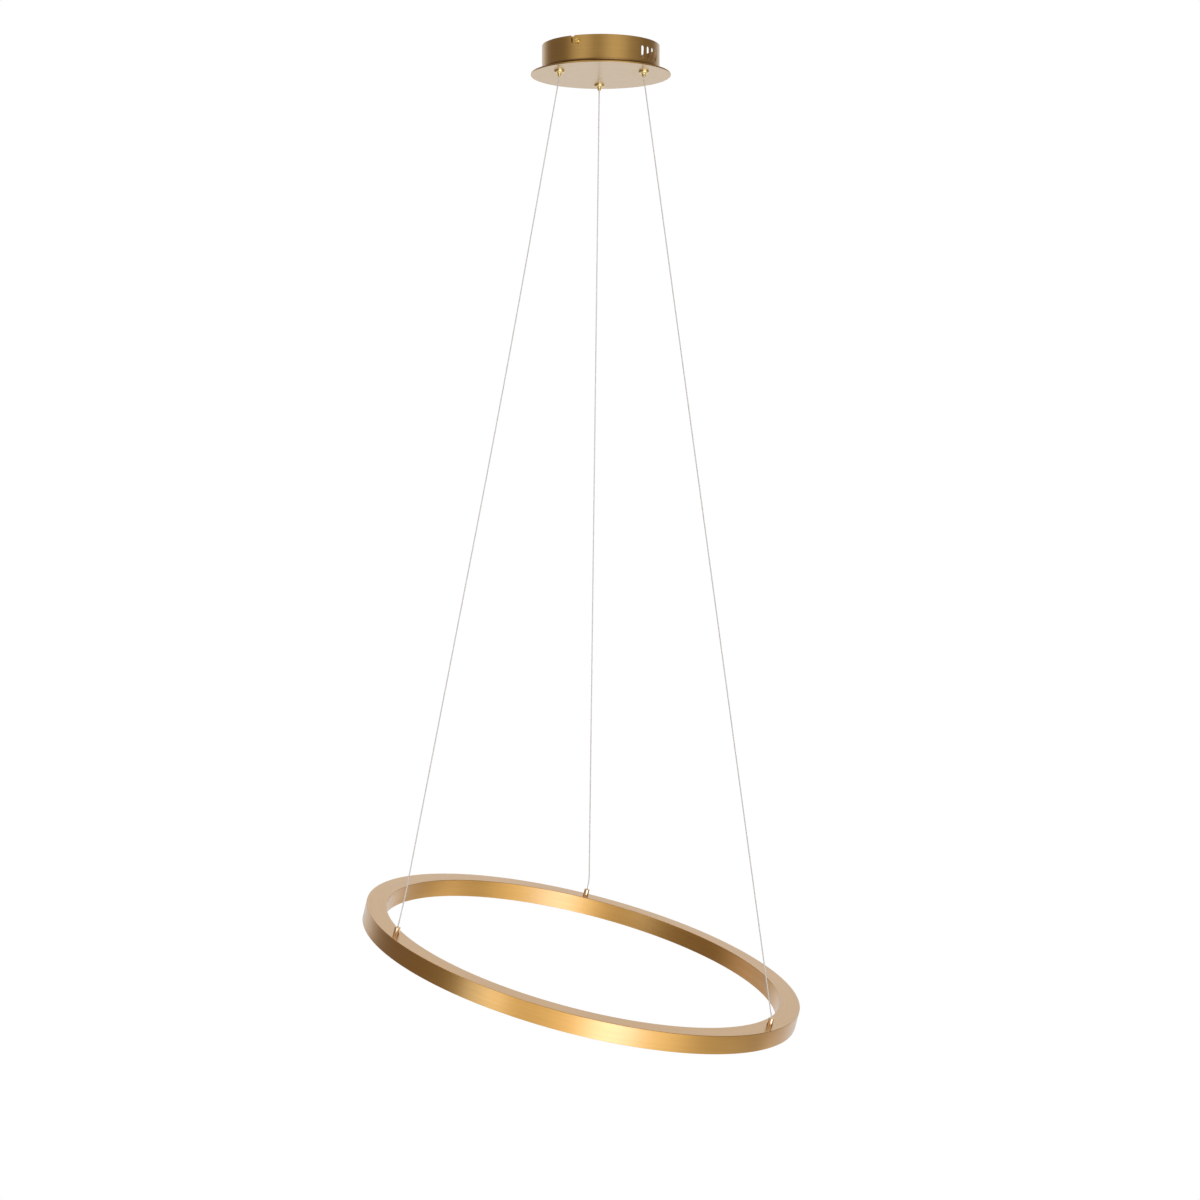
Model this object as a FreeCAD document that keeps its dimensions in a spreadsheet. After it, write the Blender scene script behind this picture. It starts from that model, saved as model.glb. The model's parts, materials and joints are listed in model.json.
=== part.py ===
import FreeCAD, Part
import math
import os
import re
import Sketcher

# A hoop-shaped LED pendant: a tilted ring on three thin cables below a round ceiling canopy.
# Origin: centre of the ceiling plane, +Z up, the front of the light towards -Y.

document = FreeCAD.newDocument("led_pendant_light")
sheet = document.addObject("Spreadsheet::Sheet", "Sizes")

# Driving dimensions, in millimetres and degrees
sizes = [
    ("overrun", 5, "how far a cut runs past the material"),
    ("fit_gap", 0.05, "radial gap of a running fit"),
    ("seat_gap", 0.1, "gap between pieces that are laid in place"),
    ("canopy_depth", 39, "ceiling plane to the underside of the plate"),
    ("plate_radius", 93.5, "canopy plate"),
    ("plate_thickness", 2, "canopy plate"),
    ("plate_edge", 0.35, "chamfer of the plate's rim"),
    ("drum_radius", 78.5, "canopy drum, outside"),
    ("drum_wall", 1, "canopy drum, sheet thickness"),
    ("drum_bend", 6, "outer radius where the wall meets the floor"),
    ("vent_azimuth", -45.6, "first vent slot"),
    ("vent_pitch", 7.7, "angle from slot to slot"),
    ("vent_count", 4, "slots in each group"),
    ("vent_width", 5.2, "vent slot"),
    ("vent_length", 16.5, "vent slot, end to end"),
    ("lock_azimuth", -112.8, "front lock screw"),
    ("lock_twist", 5.3, "turn that frees the canopy"),
    ("lock_drop", 7.6, "ceiling plane to the lock screws"),
    ("lock_screw_radius", 2, "lock screw, shank"),
    ("lock_screw_length", 9, "lock screw, under the head"),
    ("lock_head_radius", 3.25, "lock screw, head"),
    ("lock_head_height", 2.6, "lock screw, head"),
    ("lock_slack", 0.15, "lock screw's head to the drum"),
    ("lock_slot_gap", 0.4, "screw shank to the bayonet slot's edge"),
    ("lock_nut_side", 7, "square lock nut, across the flats"),
    ("lock_nut_height", 2.4, "square lock nut"),
    ("drive_slot_width", 0.9, "screwdriver slot"),
    ("drive_slot_depth", 1.1, "screwdriver slot"),
    ("bracket_width", 24, "ceiling bracket"),
    ("bracket_thickness", 1.5, "ceiling bracket"),
    ("bracket_bend", 3, "outer radius of the bracket's bends"),
    ("bracket_gap", 2.6, "bracket tab to the drum's inner wall"),
    ("tab_depth", 14, "ceiling plane to the tab's end"),
    ("ceiling_hole_spacing", 60, "between the two ceiling screws"),
    ("ceiling_hole_radius", 2.25, "ceiling screw hole"),
    ("cable_entry_radius", 6, "mains cable hole in the bracket"),
    ("gripper_circle", 64.5, "radius of the grippers' circle"),
    ("gripper_turn", 1.7, "the grippers, past the even thirds"),
    ("flange_radius", 6.9, "gripper flange"),
    ("flange_height", 2.8, "gripper flange"),
    ("nose_radius", 3.5, "gripper nose where it leaves the flange"),
    ("nose_tip_radius", 3.1, "gripper nose at its end"),
    ("nose_height", 1.2, "gripper nose"),
    ("barrel_radius", 5, "threaded gripper barrel"),
    ("barrel_height", 18, "barrel above the plate's underside"),
    ("barrel_gap", 0.1, "barrel to its holes"),
    ("chamber_radius", 4, "spring chamber in the barrel"),
    ("cone_start", 2, "plate's underside to the foot of the cone"),
    ("cone_height", 5, "wedge cone in the barrel"),
    ("cap_height", 3, "gripper cap"),
    ("washer_radius", 8, "gripper washer"),
    ("washer_height", 1, "gripper washer"),
    ("nut_flats", 14, "gripper nut, across the flats"),
    ("nut_height", 5, "gripper nut"),
    ("plunger_radius", 2.3, "gripper plunger"),
    ("plunger_drop", 7.7, "plate's underside to the plunger's tip"),
    ("plunger_edge", 0.5, "chamfer of the plunger's tip"),
    ("collar_radius", 3.6, "plunger collar under the spring"),
    ("collar_height", 1.2, "plunger collar"),
    ("collar_rise", 6.6, "plate's underside to the collar"),
    ("bore_radius", 1.1, "cable bore"),
    ("ball_radius", 1, "grip ball"),
    ("ball_rise", 3.6, "plate's underside to the grip balls"),
    ("ball_gap", 0.03, "grip ball to the cable and to its window"),
    ("spring_wire_radius", 0.25, "gripper spring"),
    ("spring_radius", 3.1, "gripper spring, mean"),
    ("spring_turns", 4, "gripper spring"),
    ("cable_radius", 0.75, "suspension cable"),
    ("cable_tuck", 8, "plunger's tip to the top of the hanging cable"),
    ("cable_exit", 0.6, "plunger's tip to the point where the cable leans"),
    ("left_cable_bow", 4, "how far the left cable bows inwards"),
    ("left_cable_rise", 35, "connector to the left cable's bend"),
    ("rear_cable_rise", 12, "connector to the rear cable's bend"),
    ("right_cable_rise", 14, "connector to the right cable's bend"),
    ("right_cable_lean", 3.4, "how far the right cable's bend stands inwards"),
    ("right_cable_guide", 1.5, "connector to the right cable's second bend"),
    ("ring_x", -22.5, "centre of the ring's top face"),
    ("ring_y", -0.4, "centre of the ring's top face"),
    ("ring_z", -1210.7, "centre of the ring's top face"),
    ("ring_tilt", 15.2, "slope of the ring"),
    ("ring_low_azimuth", -22, "where the ring hangs lowest"),
    ("ring_radius", 300, "ring, outside"),
    ("ring_width", 27.4, "ring, radially"),
    ("ring_height", 24.3, "ring profile"),
    ("ring_wall", 1.6, "ring side walls"),
    ("ring_web", 2, "ring top wall"),
    ("ring_edge", 0.6, "chamfer of the ring's top edges"),
    ("ring_foot_edge", 0.3, "chamfer of the ring's bottom edges"),
    ("ledge_drop", 9, "ring's top face to its inner ledges"),
    ("ledge_height", 2, "inner ledge"),
    ("ledge_reach", 1.6, "inner ledge, from the wall"),
    ("catch_drop", 17, "ring's top face to the diffuser catch"),
    ("catch_height", 1.2, "diffuser catch groove"),
    ("catch_depth", 0.5, "diffuser catch groove"),
    ("carrier_thickness", 1.2, "LED carrier"),
    ("strip_width", 10, "LED strip"),
    ("strip_thickness", 0.5, "LED strip"),
    ("chip_length", 3.5, "LED chip, along the strip"),
    ("chip_width", 2.8, "LED chip, across the strip"),
    ("chip_height", 0.7, "LED chip"),
    ("chip_count", 90, "LED chips"),
    ("diffuser_thickness", 2, "diffuser face"),
    ("diffuser_leg", 1.2, "diffuser legs"),
    ("connector_turn", 0.5, "first connector past the rear gripper"),
    ("connector_radius", 3.8, "ring connector"),
    ("connector_height", 9.75, "ring connector"),
    ("connector_edge", 0.5, "chamfer of the connector's top"),
    ("connector_throat", 4.5, "narrow bore at the connector's top"),
    ("stud_radius", 3, "connector stud"),
    ("stud_length", 8.2, "connector stud below the top face"),
    ("stud_bore_radius", 2, "ferrule chamber in the stud"),
    ("bush_radius", 4, "insulating bush in the ring's web"),
    ("bush_flange_radius", 6.5, "insulating bush, flange"),
    ("bush_flange_height", 1, "insulating bush, flange"),
    ("lug_height", 0.8, "connector washer"),
    ("stud_nut_flats", 10, "connector nut, across the flats"),
    ("stud_nut_height", 3, "connector nut"),
    ("ferrule_radius", 1.8, "crimped ferrule"),
    ("ferrule_length", 6, "crimped ferrule"),
    ("driver_length", 100, "LED driver"),
    ("driver_width", 40, "LED driver"),
    ("driver_height", 22, "LED driver"),
    ("driver_wall", 1.5, "LED driver case"),
    ("driver_y", 10, "LED driver, middle"),
    ("driver_corner", 3, "LED driver case, corner radius"),
    ("ear_length", 8, "driver fixing ear"),
    ("ear_width", 12, "driver fixing ear"),
    ("ear_thickness", 2, "driver fixing ear"),
    ("board_rise", 3, "driver board above the case floor"),
    ("board_thickness", 1.6, "driver board"),
    ("transformer_length", 24, "driver transformer"),
    ("transformer_width", 20, "driver transformer"),
    ("transformer_height", 12, "driver transformer"),
    ("capacitor_radius", 5, "driver capacitor"),
    ("capacitor_height", 11, "driver capacitor"),
    ("capacitor_pitch", 14, "between the driver capacitors"),
    ("capacitor_x", -32, "first driver capacitor"),
    ("block_length", 34, "terminal block"),
    ("block_width", 18, "terminal block"),
    ("block_height", 14, "terminal block"),
    ("block_x", -8, "terminal block, middle"),
    ("block_y", -41, "terminal block, middle"),
    ("pole_pitch", 10, "between the poles of the terminal block"),
    ("pole_row", 5, "middle of the block to a row of its screws"),
    ("pole_well", 4, "depth of a terminal screw's well"),
    ("wire_hole_radius", 1.6, "wire hole of a terminal"),
    ("wire_hole_depth", 6, "wire hole of a terminal"),
    ("wire_hole_rise", 6, "wire hole above the floor"),
    ("splice_length", 24, "output connector"),
    ("splice_width", 14, "output connector"),
    ("splice_height", 12, "output connector"),
    ("splice_x", 28, "output connector, middle"),
    ("splice_y", 45, "output connector, middle"),
    ("splice_pitch", 7, "between the output connector's wire holes"),
    ("small_screw_radius", 1.5, "small screw, shank"),
    ("small_head_radius", 2.8, "small screw, head"),
    ("small_head_height", 1.8, "small screw, head"),
    ("earth_x", 30, "earth screw"),
    ("earth_y", -44, "earth screw"),
    ("earth_lug_radius", 4, "earth lug"),
    ("earth_lug_height", 0.8, "earth lug"),
    ("lead_radius", 0.8, "leads inside the canopy"),
    ("lead_spacing", 3, "between the two leads of a pair"),
    ("lead_tuck", 5, "how far a lead goes into its terminal"),
    ("tail_rise", 14.5, "ceiling plane to the first bend of a cable tail"),
    ("tail_run", 8, "ceiling plane to a cable tail's level run"),
    ("feed_radius", 0.7, "feed wires in the ring"),
]
names = set()
for row, (alias, number, meaning) in enumerate(sizes, 1):
    sheet.set("A%d" % row, meaning)
    sheet.set("B%d" % row, str(number))
    sheet.setAlias("B%d" % row, alias)
    names.add(alias)
document.recompute()

PLACES = {"left": -150, "right": -30, "rear": 90}
UP = FreeCAD.Vector(0, 0, 1)


def bound(text):
    """The expression with each size name pointed at the sheet."""
    def pointed(word):
        return "Sizes." + word.group() if word.group() in names else word.group()
    return re.sub(r"[a-z][a-z_]*", pointed, text)


def size(text):
    """The value of an expression in the sheet's names."""
    return float(sheet.evalExpression(text))


def plane_of(body, role):
    return [feature for feature in body.Origin.OriginFeatures if feature.Role == role][0]


def new_body(label):
    body = document.addObject("PartDesign::Body", label)
    body.Label = label
    return body


def new_sketch(body, name, role, rise=None, turn=None):
    sketch = body.newObject("Sketcher::SketchObject", name)
    sketch.AttachmentSupport = [(plane_of(body, role), "")]
    sketch.MapMode = "FlatFace"
    if rise:
        sketch.setExpression("AttachmentOffset.Base.z", bound(rise))
    if turn:
        upright = FreeCAD.Vector(0, 1, 0)
        sketch.AttachmentOffset = FreeCAD.Placement(FreeCAD.Vector(), FreeCAD.Rotation(upright, 1))
        sketch.setExpression("AttachmentOffset.Rotation.Angle", bound(turn))
    return sketch


def pin(sketch, kind, geometry, point, text):
    number = sketch.addConstraint(Sketcher.Constraint(kind, -1, 1, geometry, point, size(text)))
    sketch.setExpression("Constraints[%d]" % number, bound(text))


def pin_down(sketch, geometry, point, x, y):
    """Holds a point of the sketch at two expressions."""
    pin(sketch, "DistanceX", geometry, point, x)
    pin(sketch, "DistanceY", geometry, point, y)


def hold_radius(sketch, geometry, radius):
    number = sketch.addConstraint(Sketcher.Constraint("Radius", geometry, size(radius)))
    sketch.setExpression("Constraints[%d]" % number, bound(radius))


def draw_circle(sketch, x, y, radius):
    centre = FreeCAD.Vector(size(x), size(y), 0)
    geometry = sketch.addGeometry(Part.Circle(centre, UP, size(radius)), False)
    hold_radius(sketch, geometry, radius)
    pin_down(sketch, geometry, 3, x, y)


def draw_outline(sketch, corners):
    """A closed outline. A corner's third entry is the radius of an arc that leaves it,
    and its fourth is 1 where that arc turns left and -1 where it turns right."""
    spots = [FreeCAD.Vector(size(corner[0]), size(corner[1]), 0) for corner in corners]
    ends = []
    for index, corner in enumerate(corners):
        start = spots[index]
        end = spots[(index + 1) % len(spots)]
        if len(corner) == 2:
            geometry = sketch.addGeometry(Part.LineSegment(start, end), False)
            ends.append((geometry, 1, 2))
            continue
        radius = size(corner[2])
        chord = end - start
        away = FreeCAD.Vector(-chord.y, chord.x, 0).normalize() * corner[3]
        centre = (start + end) * 0.5 + away * math.sqrt(max(radius ** 2 - chord.Length ** 2 / 4, 0))
        first, last = (start, end) if corner[3] > 0 else (end, start)
        angles = [math.atan2(spot.y - centre.y, spot.x - centre.x) for spot in (first, last)]
        arc = Part.ArcOfCircle(Part.Circle(centre, UP, radius), angles[0], angles[1])
        geometry = sketch.addGeometry(arc, False)
        ends.append((geometry, 1, 2) if corner[3] > 0 else (geometry, 2, 1))
    for index, corner in enumerate(corners):
        here = ends[index]
        after = ends[(index + 1) % len(ends)]
        sketch.addConstraint(Sketcher.Constraint("Coincident", here[0], here[2], after[0], after[1]))
    for index, corner in enumerate(corners):
        pin_down(sketch, ends[index][0], ends[index][1], corner[0], corner[1])
        if len(corner) > 2:
            chord = spots[(index + 1) % len(spots)] - spots[index]
            if chord.Length < 1.999 * size(corner[2]):
                hold_radius(sketch, ends[index][0], corner[2])
            elif abs(chord.x) > abs(chord.y):
                pin(sketch, "DistanceY", ends[index][0], 3, corner[1])
            else:
                pin(sketch, "DistanceX", ends[index][0], 3, corner[0])


def draw_box(sketch, x, y, length, width):
    low_x, high_x = "%s - (%s) / 2" % (x, length), "%s + (%s) / 2" % (x, length)
    low_y, high_y = "%s - (%s) / 2" % (y, width), "%s + (%s) / 2" % (y, width)
    draw_outline(sketch, [(low_x, low_y), (high_x, low_y), (high_x, high_y), (low_x, high_y)])


def revolve(label, corners):
    """A body turned about Z from one outline of radius and height."""
    body = new_body(label)
    sketch = new_sketch(body, label + "_profile", "XZ_Plane")
    draw_outline(sketch, corners)
    turned = body.newObject("PartDesign::Revolution", label + "_turned")
    turned.Profile = sketch
    turned.ReferenceAxis = (sketch, ["V_Axis"])
    turned.Angle = 360
    sketch.Visibility = False
    return body


def pad(body, sketch, length, midplane=False, down=False):
    feature = body.newObject("PartDesign::Pad", sketch.Name + "_pad")
    feature.Profile = sketch
    feature.setExpression("Length", bound(length))
    feature.SideType = "Symmetric" if midplane else "One side"
    feature.Reversed = down
    return feature


def pocket(body, sketch, length, midplane=False, turned=False):
    """A pocket that has to take material away."""
    document.recompute()
    before = body.Shape.Volume
    feature = body.newObject("PartDesign::Pocket", sketch.Name + "_cut")
    feature.Profile = sketch
    feature.setExpression("Length", bound(length))
    feature.SideType = "Symmetric" if midplane else "One side"
    feature.Reversed = turned
    document.recompute()
    if not body.Shape.Volume < before:
        raise ValueError(feature.Name + " cuts nothing")
    return feature


def around(body, features, count, angle):
    """Copies of features about Z, the angle being the whole span."""
    document.recompute()
    pattern = body.newObject("PartDesign::PolarPattern", features[0].Name + "_around")
    pattern.Originals = features
    pattern.Axis = (plane_of(body, "Z_Axis"), [""])
    pattern.setExpression("Angle", bound(angle))
    pattern.setExpression("Occurrences", bound(count))
    body.Tip = pattern
    document.recompute()
    return pattern


def set_place(item, x="0", y="0", z="0", turn="0"):
    item.Placement = FreeCAD.Placement(FreeCAD.Vector(), FreeCAD.Rotation(UP, 1))
    for axis, text in (("x", x), ("y", y), ("z", z)):
        item.setExpression(".Placement.Base." + axis, bound(text))
    item.setExpression(".Placement.Rotation.Angle", bound(turn))


def set_on_ring(item):
    """The ring's own frame: Z square to its top face, turned down towards its low side."""
    item.Placement = FreeCAD.Placement(FreeCAD.Vector(), FreeCAD.Rotation(FreeCAD.Vector(1, 0, 0), 1))
    for axis in "xyz":
        item.setExpression(".Placement.Base." + axis, bound("ring_" + axis))
    item.setExpression(".Placement.Rotation.Axis.x", bound("-sin(ring_low_azimuth * 1deg)"))
    item.setExpression(".Placement.Rotation.Axis.y", bound("cos(ring_low_azimuth * 1deg)"))
    item.setExpression(".Placement.Rotation.Axis.z", "0")
    item.setExpression(".Placement.Rotation.Angle", bound("ring_tilt"))


def ring_place():
    tilt_axis = FreeCAD.Vector(-math.sin(math.radians(size("ring_low_azimuth"))),
                               math.cos(math.radians(size("ring_low_azimuth"))), 0)
    centre = FreeCAD.Vector(size("ring_x"), size("ring_y"), size("ring_z"))
    return FreeCAD.Placement(centre, FreeCAD.Rotation(tilt_axis, size("ring_tilt")))


def loose(label, shape, placement=FreeCAD.Placement()):
    """A piece whose shape is worked out here from the sheet."""
    item = document.addObject("Part::Feature", label)
    item.Label = label
    item.Shape = shape
    item.Placement = placement
    return item


def tube(points, radius, label):
    """Straight runs joined by tangent arcs, each as large as its two runs allow."""
    edges = []
    start = points[0]
    length = 0
    radii = []
    for before, corner, after in zip(points, points[1:], points[2:]):
        back = (before - corner).normalize()
        ahead = (after - corner).normalize()
        half_turn = (math.pi - back.getAngle(ahead)) / 2
        reach = 0.45 * min((before - corner).Length, (after - corner).Length)
        bend = reach / math.tan(half_turn)
        middle = (back + ahead).normalize()
        crown = corner + middle * (bend / math.cos(half_turn) - bend)
        edges.append(Part.LineSegment(start, corner + back * reach))
        edges.append(Part.Arc(corner + back * reach, crown, corner + ahead * reach))
        start = corner + ahead * reach
        radii.append(bend)
    edges.append(Part.LineSegment(start, points[-1]))
    path = Part.Wire([edge.toShape() for edge in edges])
    ring = Part.Wire(Part.Circle(points[0], points[1] - points[0], radius).toShape())
    solid = path.makePipeShell([ring], True, False)
    expected = math.pi * radius ** 2 * path.Length
    print(label, "length %.1f" % path.Length, "radii", ", ".join("%.1f" % bend for bend in radii),
          "volume / section x length %.4f" % (solid.Volume / expected))
    return solid


def polar(radius, angle, height):
    turn = math.radians(angle)
    return FreeCAD.Vector(radius * math.cos(turn), radius * math.sin(turn), height)


# Ceiling bracket

def make_bracket():
    body = new_body("ceiling_bracket")
    sketch = new_sketch(body, "bracket_profile", "XZ_Plane")
    outer = "drum_radius - drum_wall - bracket_gap"
    inner = outer + " - bracket_thickness"
    bend = "bracket_bend"
    inner_bend = "bracket_bend - bracket_thickness"
    draw_outline(sketch, [
        ("-(%s)" % outer, "-tab_depth"),
        ("-(%s)" % inner, "-tab_depth"),
        ("-(%s)" % inner, "-bracket_bend", inner_bend, -1),
        ("-(%s - (%s))" % (inner, inner_bend), "-bracket_thickness"),
        ("%s - (%s)" % (inner, inner_bend), "-bracket_thickness", inner_bend, -1),
        (inner, "-bracket_bend"),
        (inner, "-tab_depth"),
        (outer, "-tab_depth"),
        (outer, "-bracket_bend", bend, 1),
        ("%s - %s" % (outer, bend), "0"),
        ("-(%s - %s)" % (outer, bend), "0", bend, 1),
        ("-(%s)" % outer, "-bracket_bend"),
    ])
    pad(body, sketch, "bracket_width", midplane=True)
    holes = new_sketch(body, "bracket_holes", "XY_Plane")
    draw_circle(holes, "0", "0", "cable_entry_radius")
    draw_circle(holes, "ceiling_hole_spacing / 2", "0", "ceiling_hole_radius")
    draw_circle(holes, "-ceiling_hole_spacing / 2", "0", "ceiling_hole_radius")
    pocket(body, holes, "bracket_thickness + overrun")
    threads = new_sketch(body, "tab_holes", "YZ_Plane")
    draw_circle(threads, "0", "-lock_drop", "lock_screw_radius + fit_gap")
    pocket(body, threads, "2 * drum_radius", midplane=True)
    set_place(body, turn="lock_azimuth + 180")


def make_lock_nuts():
    body = new_body("lock_nuts")
    inner = "drum_radius - drum_wall - bracket_gap - bracket_thickness"
    sketch = new_sketch(body, "lock_nut_outline", "YZ_Plane", rise="%s - lock_nut_height" % inner)
    draw_box(sketch, "0", "-lock_drop", "lock_nut_side", "lock_nut_side")
    draw_circle(sketch, "0", "-lock_drop", "lock_screw_radius + fit_gap")
    nut = pad(body, sketch, "lock_nut_height")
    around(body, [nut], "2", "360")
    set_place(body, turn="lock_azimuth + 180")


def make_lock_screw(label, opposite):
    """Head outwards: the body's own Z is the screw's axis, its origin under the head."""
    body = revolve(label, [
        ("0", "-lock_screw_length"),
        ("lock_screw_radius - plunger_edge", "-lock_screw_length"),
        ("lock_screw_radius", "plunger_edge - lock_screw_length"),
        ("lock_screw_radius", "0"),
        ("lock_head_radius", "0"),
        ("lock_head_radius", "lock_head_height - plunger_edge"),
        ("lock_head_radius - plunger_edge", "lock_head_height"),
        ("0", "lock_head_height"),
    ])
    slot = new_sketch(body, label + "_slot", "XY_Plane", rise="lock_head_height")
    draw_box(slot, "0", "0", "2 * lock_head_radius + overrun", "drive_slot_width")
    pocket(body, slot, "drive_slot_depth")
    azimuth = "(lock_azimuth + 180) * 1deg" if opposite else "lock_azimuth * 1deg"
    body.Placement = FreeCAD.Placement(FreeCAD.Vector(), FreeCAD.Rotation(FreeCAD.Vector(1, 0, 0), 90))
    reach = "(drum_radius + lock_slack)"
    body.setExpression(".Placement.Base.x", bound("%s * cos(%s)" % (reach, azimuth)))
    body.setExpression(".Placement.Base.y", bound("%s * sin(%s)" % (reach, azimuth)))
    body.setExpression(".Placement.Base.z", bound("-lock_drop"))
    body.setExpression(".Placement.Rotation.Axis.x", bound("-sin(%s)" % azimuth))
    body.setExpression(".Placement.Rotation.Axis.y", bound("cos(%s)" % azimuth))
    body.setExpression(".Placement.Rotation.Axis.z", "0")


# Canopy shell

def gripper_x(azimuth):
    return "gripper_circle * cos((%d + gripper_turn) * 1deg)" % azimuth


def gripper_y(azimuth):
    return "gripper_circle * sin((%d + gripper_turn) * 1deg)" % azimuth


def gripper_centre(azimuth, height):
    return polar(size("gripper_circle"), azimuth + size("gripper_turn"), height)


def draw_gripper_holes(sketch):
    for azimuth in PLACES.values():
        draw_circle(sketch, gripper_x(azimuth), gripper_y(azimuth), "barrel_radius + barrel_gap")


EAR_X = "(driver_length + ear_length) / 2"
BLOCK_SCREW_X = "block_x + pole_pitch / 2"


def make_drum():
    floor = "(canopy_depth - plate_thickness)"
    inner_bend = "drum_bend - drum_wall"
    body = revolve("canopy_drum", [
        ("0", "-" + floor),
        ("drum_radius - drum_bend", "-" + floor, "drum_bend", 1),
        ("drum_radius", "drum_bend - " + floor),
        ("drum_radius", "0"),
        ("drum_radius - drum_wall", "0"),
        ("drum_radius - drum_wall", "drum_bend - " + floor, inner_bend, -1),
        ("drum_radius - drum_bend", "drum_wall - " + floor),
        ("0", "drum_wall - " + floor),
    ])
    holes = new_sketch(body, "drum_floor_holes", "XY_Plane")
    draw_gripper_holes(holes)
    for x in (EAR_X, "-" + EAR_X):
        draw_circle(holes, x, "driver_y", "small_screw_radius + fit_gap")
    draw_circle(holes, BLOCK_SCREW_X, "block_y", "small_screw_radius + fit_gap")
    draw_circle(holes, "earth_x", "earth_y", "small_screw_radius + fit_gap")
    pocket(body, holes, "canopy_depth")
    vent = new_sketch(body, "vent_slot", "XZ_Plane", turn="vent_azimuth + 90")
    middle = "-%s / 2" % floor
    straight = "(vent_length - vent_width) / 2"
    draw_outline(vent, [
        ("vent_width / 2", "%s - %s" % (middle, straight)),
        ("vent_width / 2", "%s + %s" % (middle, straight), "vent_width / 2", 1),
        ("-vent_width / 2", "%s + %s" % (middle, straight)),
        ("-vent_width / 2", "%s - %s" % (middle, straight), "vent_width / 2", 1),
    ])
    cut = pocket(body, vent, "2 * (drum_radius + overrun)", midplane=True)
    around(body, [cut], "vent_count", "vent_pitch * (vent_count - 1)")
    notch = new_sketch(body, "bayonet_slot", "XZ_Plane", turn="lock_azimuth + 90")
    half = "(lock_screw_radius + lock_slot_gap)"
    aside = "drum_radius * sin(lock_twist * 1deg)"
    draw_outline(notch, [
        ("-%s - %s" % (aside, half), "overrun"),
        ("-%s - %s" % (aside, half), "-lock_drop", half, 1),
        ("-" + aside, "-lock_drop - " + half),
        ("0", "-lock_drop - " + half, half, 1),
        ("0", "%s - lock_drop" % half),
        ("%s - %s" % (half, aside), "%s - lock_drop" % half),
        ("%s - %s" % (half, aside), "overrun"),
    ])
    cut = pocket(body, notch, "drum_radius + overrun", turned=True)
    around(body, [cut], "2", "360")


def make_plate():
    body = revolve("canopy_plate", [
        ("0", "-canopy_depth"),
        ("plate_radius - plate_edge", "-canopy_depth"),
        ("plate_radius", "plate_edge - canopy_depth"),
        ("plate_radius", "plate_thickness - plate_edge - canopy_depth"),
        ("plate_radius - plate_edge", "plate_thickness - canopy_depth"),
        ("0", "plate_thickness - canopy_depth"),
    ])
    holes = new_sketch(body, "plate_holes", "XY_Plane")
    draw_gripper_holes(holes)
    pocket(body, holes, "canopy_depth + overrun")


# Cable grippers: each is built about its own axis, with its origin at the plate's underside

def set_in_canopy(item, azimuth):
    set_place(item, gripper_x(azimuth), gripper_y(azimuth), "-canopy_depth")


def make_gripper_body(label, azimuth):
    body = revolve(label, [
        ("plunger_radius + fit_gap", "-flange_height - nose_height"),
        ("nose_tip_radius", "-flange_height - nose_height"),
        ("nose_radius", "-flange_height"),
        ("flange_radius - plunger_edge", "-flange_height"),
        ("flange_radius", "plunger_edge - flange_height"),
        ("flange_radius", "0"),
        ("barrel_radius", "0"),
        ("barrel_radius", "barrel_height"),
        ("chamber_radius", "barrel_height"),
        ("chamber_radius", "cone_start + cone_height"),
        ("plunger_radius + fit_gap", "cone_start"),
    ])
    set_in_canopy(body, azimuth)


def make_plunger(label, azimuth):
    body = revolve(label, [
        ("bore_radius", "-plunger_drop"),
        ("plunger_radius - plunger_edge", "-plunger_drop"),
        ("plunger_radius", "plunger_edge - plunger_drop"),
        ("plunger_radius", "collar_rise"),
        ("collar_radius", "collar_rise"),
        ("collar_radius", "collar_rise + collar_height"),
        ("bore_radius", "collar_rise + collar_height"),
    ])
    window = new_sketch(body, label + "_window", "XZ_Plane")
    draw_circle(window, "0", "ball_rise", "ball_radius + ball_gap")
    cut = pocket(body, window, "plunger_radius + overrun")
    around(body, [cut], "3", "360")
    set_in_canopy(body, azimuth)


def make_balls(label, azimuth):
    """Three balls in the plunger's windows, just clear of the cable."""
    reach = size("cable_radius + ball_gap + ball_radius")
    balls = []
    for turn in (90, 210, 330):
        balls.append(Part.makeSphere(size("ball_radius"), polar(reach, turn, size("ball_rise"))))
    centre = gripper_centre(azimuth, -size("canopy_depth"))
    loose(label, Part.makeCompound(balls), FreeCAD.Placement(centre, FreeCAD.Rotation()))


def make_spring(label, azimuth):
    wire_radius = size("spring_wire_radius")
    foot = size("collar_rise + collar_height + seat_gap") + wire_radius
    head = size("barrel_height - cap_height - seat_gap") - wire_radius
    pitch = (head - foot) / size("spring_turns")
    radius = size("spring_radius")
    helix = Part.makeLongHelix(pitch, head - foot, radius)
    section = Part.Circle(FreeCAD.Vector(radius, 0, 0), FreeCAD.Vector(0, 1, 0), wire_radius)
    coil = Part.Wire(helix.Edges).makePipeShell([Part.Wire(section.toShape())], True, True)
    centre = gripper_centre(azimuth, foot - size("canopy_depth"))
    loose(label, coil, FreeCAD.Placement(centre, FreeCAD.Rotation()))
    print(label, "gap between turns %.2f" % (pitch - 2 * wire_radius))


def three_pads(label, drawers, base, height):
    """Three like pieces on the grippers' circle, padded up from a height in the canopy."""
    body = new_body(label)
    sketch = new_sketch(body, label + "_outline", "XY_Plane", rise="(%s) - canopy_depth" % base)
    for drawer in drawers:
        drawer(sketch)
    piece = pad(body, sketch, height)
    around(body, [piece], "3", "360")
    return body


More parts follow.
